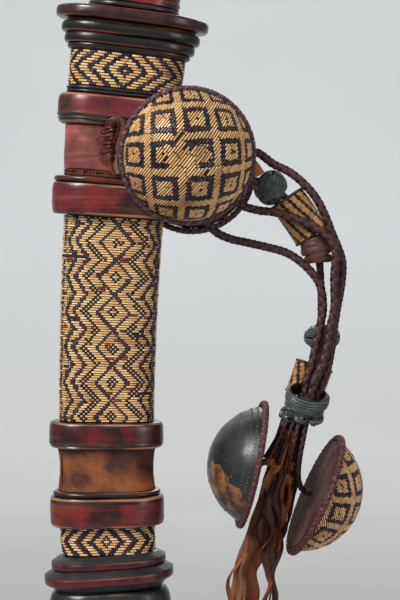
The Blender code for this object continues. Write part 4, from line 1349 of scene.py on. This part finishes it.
def make_keepers():
    pieces = []
    sculpt = Sculpt()
    wound_ball(sculpt, (0.0907, -0.0077, 0.1556), (0.881, 0.068, -0.469), 0.0082, 0.0090,
               crossing_bands(5, 0.95) + crossing_bands(2, 0.35, (-0.3, 0.3)), 0.0042, 0.0031)
    pieces.append(sculpt.make("turned_knot_thongs", [KNOT_PAINT], "hanger", "black_leather", "turned_knot"))
    pieces.append(make_sleeve("upper_keeper_sleeve", (0.0996, -0.0069, 0.1501), (0.1139, -0.0066, 0.1290),
        0.0099, 0.25,
                              STRAP_STRAW))
    sculpt = Sculpt()
    wrap_turns(sculpt, (0.1161, -0.0073, 0.1214), (0.266, 0.0, -0.964), (0.0068, 0.0066), (
        (-0.0052, 0.0044, 0.16, 0.3, 0.96), (0.0052, 0.0044, -0.20, 0.0, 0.92),
        (-0.0026, 0.0046, -0.22, 0.2, 1.04),
        (0.0028, 0.0046, 0.24, 0.1, 1.02), (0.0002, 0.0046, -0.12, 0.4, 1.12)))
    pieces.append(sculpt.make("three_turn_wrap_leather", [WRAP_PAINT], "hanger", "worn_leather",
        "three_turn_wrap"))
    pieces.append(make_sleeve("lower_keeper_sleeve", (0.1160, 0.0015, 0.0566), (0.1096, 0.0009, 0.0388),
        0.0102, 0.35,
                              STRAP_STRAW))
    sculpt = Sculpt()
    wound_ball(sculpt, (0.1202, 0.0010, 0.0725), (0.02, 0.03, -1.0), 0.0070, 0.0094,
               crossing_bands(4, 0.8) + crossing_bands(1, 0.0, (-0.3, 0.3)), 0.0038, 0.0031)
    pieces.append(sculpt.make("small_knot_thongs", [KNOT_PAINT], "small_keeper", "black_leather",
        "small_knot"))
    return pieces


def make_gathering():
    """The ring of ridged thongs that gathers the cords, and the small knots under it."""
    sculpt = Sculpt()
    centre = Vector((0.1106, -0.0124, 0.0386))
    wound_ball(sculpt, centre - Vector((0.0006, 0.0, 0.0030)), (0.25, 0.0, 1.0), 0.0050, 0.0088, [], 0.0040)
    for title in ("outer_cord", "middle_cord", "inner_cord"):
        before, last = (Vector(p) for p in CORDS[title][2][-2:])
        inside = centre.lerp(last, 0.35) - Vector((0.0, 0.0, 0.0075))
        line = smooth_route((last + (before - last) * 0.2, last, inside), 0.0008)
        plait(sculpt, line, carried(line, (0.0, 1.0, 0.0)), 0.0025, 0.0117, kind=1)
    for shift, tip, width, grow in ((0.0016, (0.22, -0.42, 0.88), 0.0066, 1.02),
                                    (-0.0024, (-0.30, -0.28, 0.92), 0.0052, 0.99),
                                    (-0.0044, (0.30, -0.10, 0.95), 0.0044, 0.93)):
        pole = Vector(tip).normalized()
        first = (Vector((1.0, 0.0, 0.0)) - pole * pole.x).normalized()
        second = pole.cross(first)
        line, outs = [], []
        for k in range(64):
            t = 2 * math.pi * k / 64
            out = first * (0.0108 * math.cos(t)) + second * (0.0088 * math.sin(t))
            line.append(centre + pole * shift + out * grow)
            outs.append(out.normalized())
        lay_ridged(sculpt, line, outs, width / 2, 0.0014, 4)
    for middle, axis, size in (((0.0998, -0.0135, 0.0330), (0.6, 0.0, 0.8), 0.0036),
                               ((0.1150, -0.0135, 0.0310), (-0.5, 0.0, 0.85), 0.0038),
                               ((0.1072, -0.0150, 0.0316), (0.1, 0.2, 1.0), 0.0034)):
        wound_ball(sculpt, Vector(middle) - Vector((0.0, 0.0, 0.0022)), axis, size * 1.2, size,
            crossing_bands(3, 0.7),
                   0.0030)
    sculpt.make("gathering_knot_thongs", [KNOT_PAINT, CORD_PAINT], "hanger", "black_leather",
        "gathering_knot")


def make_sling_knot():
    sculpt = Sculpt()
    wound_ball(sculpt, (0.0462, -0.0120, 0.1640), (0.0, 0.0, 1.0), 0.0105, 0.0074, crossing_bands(4, 0.9),
        0.0046)
    sculpt.make("sling_knot_thongs", [WRAP_PAINT], "scabbard", "red_leather", "sling_knot")
    sculpt = Sculpt()
    ring, outs = [], []
    for k in range(60):
        turn = 2 * math.pi * k / 60
        way = Vector((math.cos(turn), 0.0, math.sin(turn)))
        ring.append(Vector((0.0603, -0.0120, 0.1620)) + way * 0.0038)
        outs.append(way)
    plait(sculpt, ring, outs, 0.0014, 0.0040, closed=True)
    sculpt.make("tie_loop_plait", [CORD_PAINT], "hanger_loop", "braided_leather", "tie_loop")


KEEPER_PIECES = make_keepers()
make_gathering()
make_sling_knot()


# ---------------------------------------------------------------- fringe
STRIP_SECTION = ((1.0, 0.5), (0.55, 0.9), (0.0, 1.0), (-0.55, 0.9), (-1.0, 0.5), (-1.0, -0.5), (-0.5, -0.3),
    (0.5, -0.3),
                 (1.0, -0.5))
FRINGE = (  # width, colour, turns of twist, sideways wave, and the points of the middle line
    (0.0078, 0, 0.22, 0.0010, ((0.0940, -0.0090, 0.0030), (0.0890, -0.0110, -0.0120),
    (0.0835, -0.0125, -0.0300),
                               (0.0770, -0.0130, -0.0480), (0.0715, -0.0120, -0.0700),
                               (0.0680, -0.0100, -0.0950))),
    (0.0078, 1, 0.40, 0.0016, ((0.0965, -0.0060, 0.0000), (0.0925, -0.0080, -0.0180),
    (0.0865, -0.0085, -0.0380),
                               (0.0815, -0.0075, -0.0600), (0.0780, -0.0060, -0.0820),
                               (0.0785, -0.0040, -0.1040))),
    (0.0055, 1, 0.60, 0.0018, ((0.1000, -0.0080, 0.0000), (0.0965, -0.0110, -0.0180),
    (0.0925, -0.0125, -0.0360),
                               (0.0895, -0.0120, -0.0560), (0.0870, -0.0100, -0.0780),
                               (0.0880, -0.0085, -0.0960))),
    (0.0040, 2, 0.50, 0.0012, ((0.1035, -0.0030, 0.0000), (0.0995, -0.0020, -0.0200),
    (0.0935, 0.0000, -0.0420),
                               (0.0905, 0.0005, -0.0600), (0.0900, 0.0020, -0.0840))),
    (0.0042, 2, 0.70, 0.0018, ((0.0990, -0.0110, 0.0060), (0.0958, -0.0145, -0.0100),
    (0.0930, -0.0160, -0.0260),
                               (0.0912, -0.0155, -0.0420), (0.0900, -0.0140, -0.0590))),
    (0.0036, 2, 0.40, 0.0012, ((0.1035, -0.0070, 0.0040), (0.1022, -0.0110, -0.0130),
    (0.0975, -0.0130, -0.0300),
                               (0.0938, -0.0125, -0.0470))),
    (0.0034, 2, 0.55, 0.0010, ((0.1055, -0.0055, 0.0020), (0.1040, -0.0085, -0.0150),
    (0.0985, -0.0100, -0.0330),
                               (0.0955, -0.0100, -0.0490))),
    (0.0036, 2, 0.35, 0.0014, ((0.1000, -0.0030, -0.0020), (0.0975, -0.0060, -0.0250),
    (0.0945, -0.0070, -0.0500),
                               (0.0920, -0.0060, -0.0750), (0.0918, -0.0050, -0.1000))),
    (0.0026, 1, 0.90, 0.0014, ((0.0880, -0.0120, -0.0250), (0.0770, -0.0160, -0.0430),
    (0.0700, -0.0165, -0.0560),
                               (0.0672, -0.0155, -0.0680), (0.0690, -0.0145, -0.0800),
                               (0.0712, -0.0130, -0.0900))),
    (0.0026, 0, 0.80, 0.0010, ((0.0780, -0.0160, -0.0460), (0.0735, -0.0170, -0.0620),
    (0.0745, -0.0170, -0.0760),
                               (0.0725, -0.0160, -0.0900))),
    (0.0048, 2, 0.80, 0.0022, ((0.0955, -0.0070, 0.0060), (0.0925, -0.0115, -0.0080),
    (0.0900, -0.0165, -0.0210),
                               (0.0885, -0.0175, -0.0330), (0.0885, -0.0160, -0.0470),
                               (0.0868, -0.0150, -0.0600))),
    (0.0034, 2, 0.90, 0.0020, ((0.0930, -0.0060, 0.0070), (0.0895, -0.0100, -0.0060),
    (0.0862, -0.0145, -0.0200),
                               (0.0850, -0.0160, -0.0360), (0.0838, -0.0150, -0.0500))),
    (0.0030, 1, 1.10, 0.0020, ((0.1000, -0.0120, 0.0010), (0.0985, -0.0155, -0.0100),
    (0.0965, -0.0165, -0.0230),
                               (0.0955, -0.0160, -0.0360))),
    (0.0028, 1, 0.70, 0.0008, ((0.1020, -0.0110, 0.0000), (0.1010, -0.0145, -0.0140),
    (0.0972, -0.0150, -0.0290),
                               (0.0942, -0.0145, -0.0450))),
)
STRIP_THICKNESS = 0.0011
STRIP_CURL = 0.16  # how far a strip's edges curl back, against its width


def make_fringe():
    """Leather strips cut from one sheet, hung from the fringe's head."""
    sculpt = Sculpt()
    for width, colour, twist, wave, points in FRINGE:
        phase = DICE.uniform(-0.5, 0.5)
        plain = smooth_route(points, 0.0018)
        line = []
        for k, point in enumerate(plain):
            part = k / (len(plain) - 1)
            sway = wave * min(1.0, 3 * part) * math.sin(2 * math.pi * (run_share(part, plain) + phase))
            line.append(point + Vector((sway, 0.5 * sway, 0.0)))
        ups = []
        for k, (along, up) in enumerate(zip(tangents(line), carried(line, (0.0, -1.0, 0.0)))):
            part = k / (len(line) - 1)
            angle = phase + 2 * math.pi * twist * (part - 0.3) + 0.45 * math.sin(11 * part + phase * 5)
            ups.append(Matrix.Rotation(angle, 3, along) @ up)
        section = [(x * width / 2, y * STRIP_THICKNESS / 2 - STRIP_CURL * width * x * x) for x,
            y in STRIP_SECTION]
        shade = DICE.random()

        def mark(i, j):
            return 0.0, 1.0 if j in (0, 4, 5, 8) else 0.0, shade

        def taper(part):
            taper = 1.0 if part < 0.75 else 1.0 - 0.6 * (part - 0.75) / 0.25
            return taper * (1 + 0.14 * math.sin(19 * part + phase))

        sweep(sculpt, line, ups, section, mark, colour, size=taper)
    return sculpt.make("fringe_strips", [TAN_PAINT, ORANGE_PAINT, DARK_STRIP_PAINT], "fringe",
        "fringe_leather",
                       "fringe_strip_1", "fringe_strip_2", "fringe_strip_3", "fringe_strip_4")


def run_share(part, line):
    """Waves gone by at a share of a line, one for each 28 mm."""
    return part * run_of(line)[-1] / 0.028


HEAD_THONGS = (  # radius, colour, points: the thongs knotted round the head of the fringe
    (0.0013, 0, ((0.1060, -0.0070, 0.0280), (0.1040, -0.0105, 0.0170), (0.1010, -0.0120, 0.0060),
    (0.0985, -0.0115, -0.0060))),
    (0.0012, 1, ((0.1025, -0.0085, 0.0270), (0.0985, -0.0110, 0.0170), (0.0940, -0.0120, 0.0080),
    (0.0905, -0.0105, 0.0010))),
    (0.0012, 1, ((0.1080, -0.0060, 0.0250), (0.1070, -0.0070, 0.0120), (0.1050, -0.0075, 0.0000),
    (0.1025, -0.0080, -0.0120))),
    (0.0011, 0, ((0.1000, -0.0090, 0.0260), (0.0955, -0.0110, 0.0190), (0.0915, -0.0110, 0.0120),
    (0.0880, -0.0095, 0.0060))),
    (0.0011, 2, ((0.0905, -0.0110, 0.0010), (0.0950, -0.0135, 0.0040), (0.0990, -0.0130, 0.0130),
    (0.0995, -0.0120, 0.0220))),
    (0.0011, 2, ((0.0890, -0.0100, -0.0030), (0.0940, -0.0130, 0.0000), (0.0975, -0.0130, 0.0080),
    (0.0985, -0.0120, 0.0190))),
    (0.0010, 2, ((0.0995, -0.0130, -0.0080), (0.1003, -0.0140, 0.0020), (0.1020, -0.0130, 0.0110),
    (0.1035, -0.0110, 0.0210))),
    (0.0010, 1, ((0.1025, -0.0090, -0.0100), (0.1035, -0.0085, 0.0000), (0.1055, -0.0075, 0.0120),
    (0.1080, -0.0060, 0.0230))),
)


HEAD_BRAIDS = (  # thin braids that fan out of the gathering knot
    ((0.1010, -0.0150, 0.0320), (0.0975, -0.0165, 0.0235), (0.0940, -0.0160, 0.0150),
    (0.0905, -0.0145, 0.0085)),
    ((0.1068, -0.0150, 0.0310), (0.1045, -0.0165, 0.0200), (0.1018, -0.0165, 0.0090),
    (0.1003, -0.0150, -0.0020)),
    ((0.1110, -0.0085, 0.0300), (0.1085, -0.0090, 0.0180), (0.1060, -0.0085, 0.0060),
    (0.1035, -0.0080, -0.0040)),
    ((0.1050, -0.0140, 0.0310), (0.1010, -0.0150, 0.0210), (0.0975, -0.0150, 0.0120),
    (0.0950, -0.0145, 0.0030)),
)


def make_head():
    sculpt = Sculpt()
    for points in HEAD_BRAIDS:
        line = smooth_route(points, 0.0007)
        plait(sculpt, line, carried(line, (0.0, 1.0, 0.0)), 0.0014, 0.0072, sides=6)
    wound_ball(sculpt, (0.1010, -0.0030, 0.0110), (0.0, 0.0, 1.0), 0.0140, 0.0060, crossing_bands(3, 0.5),
        0.0040, kind=1)
    for radius, kind, points in HEAD_THONGS:
        line = smooth_route(points, 0.0012)
        sweep(sculpt, line, carried(line, (0.0, 1.0, 0.0)), oval(radius * 1.3, radius * 0.8, 8),
              lambda i, j: (0.0, abs(math.cos(math.pi * j / 4)), 0.5), kind)
    for middle, size in (((0.1013, -0.0120, 0.0020), 0.0024), ((0.1008, -0.0120, -0.0060), 0.0022),
                         ((0.0905, -0.0120, 0.0040), 0.0022)):
        wound_ball(sculpt, middle, (0.3, 0.2, 1.0), size, size, crossing_bands(2, 0.8), 0.0020, kind=2)
    sculpt.make("fringe_head_thongs", [CORD_PAINT, DARK_STRIP_PAINT, THONG_PAINT], "fringe", "fringe_leather",
                "fringe_head")


FRINGE_PIECE = make_fringe()
make_head()


# ---------------------------------------------------------------- strap loop and frayed thongs
def make_sling_trim():
    sculpt = Sculpt()
    strap = smooth_route(((0.0030, -0.0262, 0.1850), (0.0042, -0.0292, 0.1898), (0.0074, -0.0306, 0.1914),
                          (0.0104, -0.0312, 0.1892), (0.0098, -0.0300, 0.1846), (0.0078, -0.0284, 0.1788),
                          (0.0064, -0.0276, 0.1716), (0.0062, -0.0282, 0.1664), (0.0074, -0.0292, 0.1618)),
                          0.0010)
    section = [(0.0017, 0.0003), (0.0009, 0.0007), (-0.0009, 0.0007), (-0.0017, 0.0003), (-0.0017, -0.0004),
               (0.0017, -0.0004)]
    sweep(sculpt, strap, carried(strap, (0.0, -1.0, 0.0)), section, (0.0, 0.0, 0.4), 0)
    for shift in (-0.0022, 0.0021):
        edge = [p + Vector((shift, -0.0003, 0.0)) for p in strap]
        sweep(sculpt, edge, carried(edge, (0.0, -1.0, 0.0)), oval(0.0005, 0.0004, 6), (0.0, 0.0, 0.6), 1)
    for k in range(15):
        z = 0.1690 + 0.0012 * k + DICE.uniform(-0.0008, 0.0008)
        x = 0.0045 + DICE.uniform(-0.0010, 0.0010)
        reach = DICE.uniform(0.0030, 0.0078)
        points = ((x + 0.0020, -0.0272, z), (x, -0.0292 - DICE.uniform(0.0, 0.0012), z + 0.0008),
                  (x - reach * 0.6, -0.0280, z + DICE.uniform(-0.0008, 0.0010)),
                  (x - reach, -0.0264, z - DICE.uniform(0.0, 0.0014)))
        line = smooth_route(points, 0.0008)
        sweep(sculpt, line, carried(line, (0.0, 1.0, 0.0)), oval(0.00055, 0.0004, 6),
            (0.0, 0.0, DICE.random()), 1)
    sculpt.make("sling_strap_trim", [FRAY_PAINT, SEAM_PAINT], "scabbard", "black_leather")
    sculpt = Sculpt()
    for width, kind, points in (
            (0.0050, 0, ((0.0780, -0.0105, 0.1712), (0.0815, -0.0125, 0.1675), (0.0850, -0.0125, 0.1625))),
            (0.0024, 1, ((0.0760, -0.0125, 0.1640), (0.0800, -0.0145, 0.1600), (0.0845, -0.0120, 0.1560))),
            (0.0024, 1, ((0.0760, -0.0135, 0.1600), (0.0805, -0.0155, 0.1560), (0.0850, -0.0135, 0.1545)))):
        line = smooth_route(points, 0.0008)
        section = [(x * width / 2, y * 0.0007) for x, y in STRIP_SECTION]
        sweep(sculpt, line, carried(line, (0.0, -1.0, 0.2)), section, (0.0, 0.0, 0.6), kind)
    sculpt.make("hanger_root_straps", [THONG_PAINT, CORD_PAINT], "hanger", "worn_leather")


make_sling_trim()

# ---------------------------------------------------------------- lower scabbard
TIP_LENGTH = 0.118
TIP_WIDTHS = ((0.0, 0.0205), (0.25, 0.0235), (0.55, 0.0290), (0.80, 0.0330), (0.94, 0.0315), (1.0, 0.0270))
TIP_DEPTHS = (0.0095, 0.0085, 0.0070, 0.0060, 0.0050, 0.0040)
TOOLED_PITCH = 0.0242


def make_tooled_sleeve():
    """The long lower sleeve: black leather with a raised lattice, panels of it parted by double bands."""
    name = "tooled_sleeve"
    top, bottom = SPANS[name]
    sculpt = Sculpt()
    stations = [(k / 90, 0.0019, 0.0, 0.0) for k in range(91)]
    cover_mesh(sculpt, top, bottom, stations, 0.0002)

    def surface(s, t, lift):
        return on_core(s, t, 0.0019 + lift)

    panels = 4
    size = (top - bottom) / panels
    for number in range(panels):
        high, low = top - number * size - 0.006, top - (number + 1) * size + 0.006
        for t in (high + 0.0032, high + 0.0012, low - 0.0012, low - 0.0032):
            half = half_round(t, 0.0019)
            lay_band(sculpt, surface, [(-half, t), (0.0, t), (half, t)], 0.0012, 0.0008, 1, 0.002, 0.6)
        rows = round((high - low) / TOOLED_PITCH)
        step = (high - low) / rows
        for k in range(rows):
            up, down = high - k * step, high - (k + 1) * step
            half = min(half_round(up, 0.0019), half_round(down, 0.0019))
            for j in range(6):
                left, right = half * (2 * j / 6 - 1), half * (2 * (j + 1) / 6 - 1)
                lay_band(sculpt, surface, [(left, up), (right, down)], 0.0010, 0.00065, 0, 0.002, 0.4)
                lay_band(sculpt, surface, [(right, up), (left, down)], 0.0010, 0.00065, 0, 0.002, 0.4)
    sculpt.make("tooled_sleeve_leather", [BLACK_PAINT, RED_PAINT], "scabbard", "black_leather", name)


def make_tip():
    """The flared leather tip, with tooled lines that follow its outline."""
    start = SPANS["tip_ring"][1] - GAP

    def girth(share, grow):
        width = float(np.interp(share, [s for s, _ in TIP_WIDTHS], [w for _, w in TIP_WIDTHS]))
        depth = float(np.interp(share, [s for s, _ in TIP_WIDTHS], TIP_DEPTHS))
        end, deep = END_ROUNDING * depth + grow, depth + grow
        arc = math.pi / 2 * (3 * (end + deep) - math.sqrt((3 * end + deep) * (end + 3 * deep)))
        return width - END_ROUNDING * depth, end, deep, arc

    def surface(s, t, lift):
        share = (start - t) / TIP_LENGTH
        return slab_place(girth(share, lift), s, t)

    sculpt = Sculpt()
    rows = []
    for share in (0.0, *np.linspace(0.002, 0.985, 60), 0.994, 1.0):
        grow = -0.0009 if share in (0.0, 1.0) else 0.0
        flat, _, _, arc = girth(share, grow)
        half = 2 * flat + arc
        rows.append([slab_place(girth(share, grow), half * (2 * (j + 0.5) / AROUND - 1),
            start - share * TIP_LENGTH)
                     for j in range(AROUND)])
    sculpt.skin(rows, wrap=True, cap=True)
    shares = np.linspace(0.05, 0.93, 16)
    for front in (0.0, 1.0):
        for inset in (0.0, 0.004, 0.012):
            for side in (-1, 1):
                corners = []
                for share in shares:
                    flat, _, _, arc = girth(share, 0.0)
                    s = max(0.001, flat - inset)
                    corners.append((side * (s if front == 0.0 else 2 * flat + arc - s),
                        start - share * TIP_LENGTH))
                lay_band(sculpt, surface, corners, 0.0011, 0.0006, 1 if inset == 0.004 else 0, 0.003, 0.5)
    sculpt.make("flared_tip_leather", [BLACK_PAINT, RED_PAINT], "scabbard", "black_leather", "flared_tip")


make_tooled_sleeve()
make_tip()

# ---------------------------------------------------------------- sword
HILT_START = THROAT + GAP
HILT_PROFILE = (
    (0.004, 0.0245, 0.0165), (0.016, 0.0238, 0.0160), (0.026, 0.0180, 0.0140), (0.040, 0.0150, 0.0125),
    (0.085, 0.0140, 0.0120), (0.125, 0.0155, 0.0128), (0.138, 0.0165, 0.0132),
)
POMMEL_PROFILE = ((0.1383, 0.0175), (0.143, 0.0225), (0.153, 0.0255), (0.164, 0.0225), (0.170, 0.0150))
BLADE_LENGTH = 0.625


def hilt_girth(width, depth):
    end = 1.05 * depth
    arc = math.pi / 2 * (3 * (end + depth) - math.sqrt((3 * end + depth) * (end + 3 * depth)))
    return max(0.0005, width - end), end, depth, arc


def hilt_loop(along, width, depth, count=72):
    girth = hilt_girth(width, depth)
    half = 2 * girth[0] + girth[3]
    row = []
    for j in range(count):
        point = slab_place(girth, half * (2 * (j + 0.5) / count - 1), HILT_START + along)
        row.append(point)
    return row


def smooth_profile(profile, count):
    """A profile resampled on a smooth curve."""
    line = smooth_route([(a, w, d) for a, w, d in profile], (profile[-1][0] - profile[0][0]) / count)
    return [tuple(p) for p in line]


def make_sword():
    sculpt = Sculpt()
    stations = smooth_profile(HILT_PROFILE, 70)
    rows = []
    for k, (a, w, d) in enumerate(stations):
        ribbed = 0.0003 * math.sin(2 * math.pi * a / 0.0062) if a > 0.036 else 0.0
        rows.append(hilt_loop(a, w + ribbed, d + ribbed))
    sculpt.skin(rows, lambda i, j: (0.0, 0.4 if i < 3 else 0.0, 0.5), wrap=True, cap=True)
    for z in (0.0065, 0.0155):
        girth = hilt_girth(0.0246, 0.0166)
        half = 2 * girth[0] + girth[3]
        count = 46
        for k in range(count):
            middle = half * (2 * (k + 0.5) / count - 1)
            lay_float(sculpt, lambda s, t, lift: slab_place(hilt_girth(0.0242 + lift, 0.0163 + lift), s, t),
                      middle - 0.0011, middle + 0.0011, HILT_START + z, 0.0007, 0.0007, 1, 0.35)
    sculpt.make("grip_red_leather", [RED_PAINT, THONG_PAINT], "sword", "red_leather", "grip_leather")
    sculpt = Sculpt()
    band = ((0.0002, 0.0236, 0.0157), (0.0005, 0.0248, 0.0169), (0.0012, 0.0252, 0.0173),
        (0.0022, 0.0252, 0.0173),
            (0.0031, 0.0248, 0.0169), (0.0037, 0.0238, 0.0159))
    sculpt.skin([hilt_loop(*s) for s in band], (0.0, 0.2, 0.5), wrap=True, cap=True)
    sculpt.make("hilt_band_leather", [BLACK_PAINT], "sword", "black_leather", "hilt_band")
    sculpt = Sculpt()
    stations = smooth_profile([(a, w, 0.72 * w + 0.002) for a, w in POMMEL_PROFILE], 30)
    sculpt.skin([hilt_loop(*s) for s in stations], (0.0, 0.1, 0.5), wrap=True, cap=True)
    sculpt.make("pommel_leather", [RED_PAINT], "sword", "red_leather", "pommel")
    sculpt = Sculpt()
    cap = [(0.1703, 0.0120), (0.1712, 0.0122), (0.1722, 0.0116), (0.1732, 0.0100), (0.1742, 0.0076),
        (0.1750, 0.0045)]
    sculpt.skin([hilt_loop(a, w, 0.75 * w, 48) for a, w in cap], wrap=True, cap=True)
    sculpt.make("pommel_brass_cap", [BRASS_PAINT], "sword", "cap_brass", "pommel_cap")
    repaint("grip_core", WOOD_PAINT)
    for node in ("front_lath", "back_lath"):
        repaint(node, WOOD_PAINT)


def make_blade():
    """A single-fullered curved blade with a drawn point, and its tang."""
    foot = THROAT - BLADE_LENGTH
    section = []
    for k in range(17):
        share = 1 - 2 * k / 16
        fuller = 0.55 * math.exp(-((share - 0.25) / 0.22) ** 2)
        section.append((share, max(0.04, (1 - abs(share) ** 2.4) - fuller * 0.5)))
    rows = []
    for along in (*np.linspace(foot, foot + 0.03, 12), *np.linspace(foot + 0.035, HILT_START, 40)):
        half = float(np.interp(along, (foot, THROAT), (0.0145, 0.0190)))
        close = min(1.0, (along - foot) / 0.03)
        half *= 0.06 + 0.94 * math.sqrt(close)
        thick = 0.0024 * (0.25 + 0.75 * math.sqrt(close))
        upper = [place(half * x, thick * y, along) for x, y in section]
        lower = [place(half * x, -thick * y, along) for x, y in section[-2:0:-1]]
        rows.append(upper + lower)
    sculpt = Sculpt()
    sculpt.skin(rows, wrap=True, cap=True)
    tang = [[place(x, y, a) for x, y in ((0.006, 0.0022), (-0.006, 0.0022), (-0.006, -0.0022),
        (0.006, -0.0022))]
            for a in (HILT_START + 0.0001, HILT_START + 0.060, HILT_START + 0.1698)]
    sculpt.skin(tang, wrap=True, cap=True)
    sculpt.make("curved_blade", [STEEL_PAINT], "sword", "blade_steel", "blade")


make_sword()
make_blade()
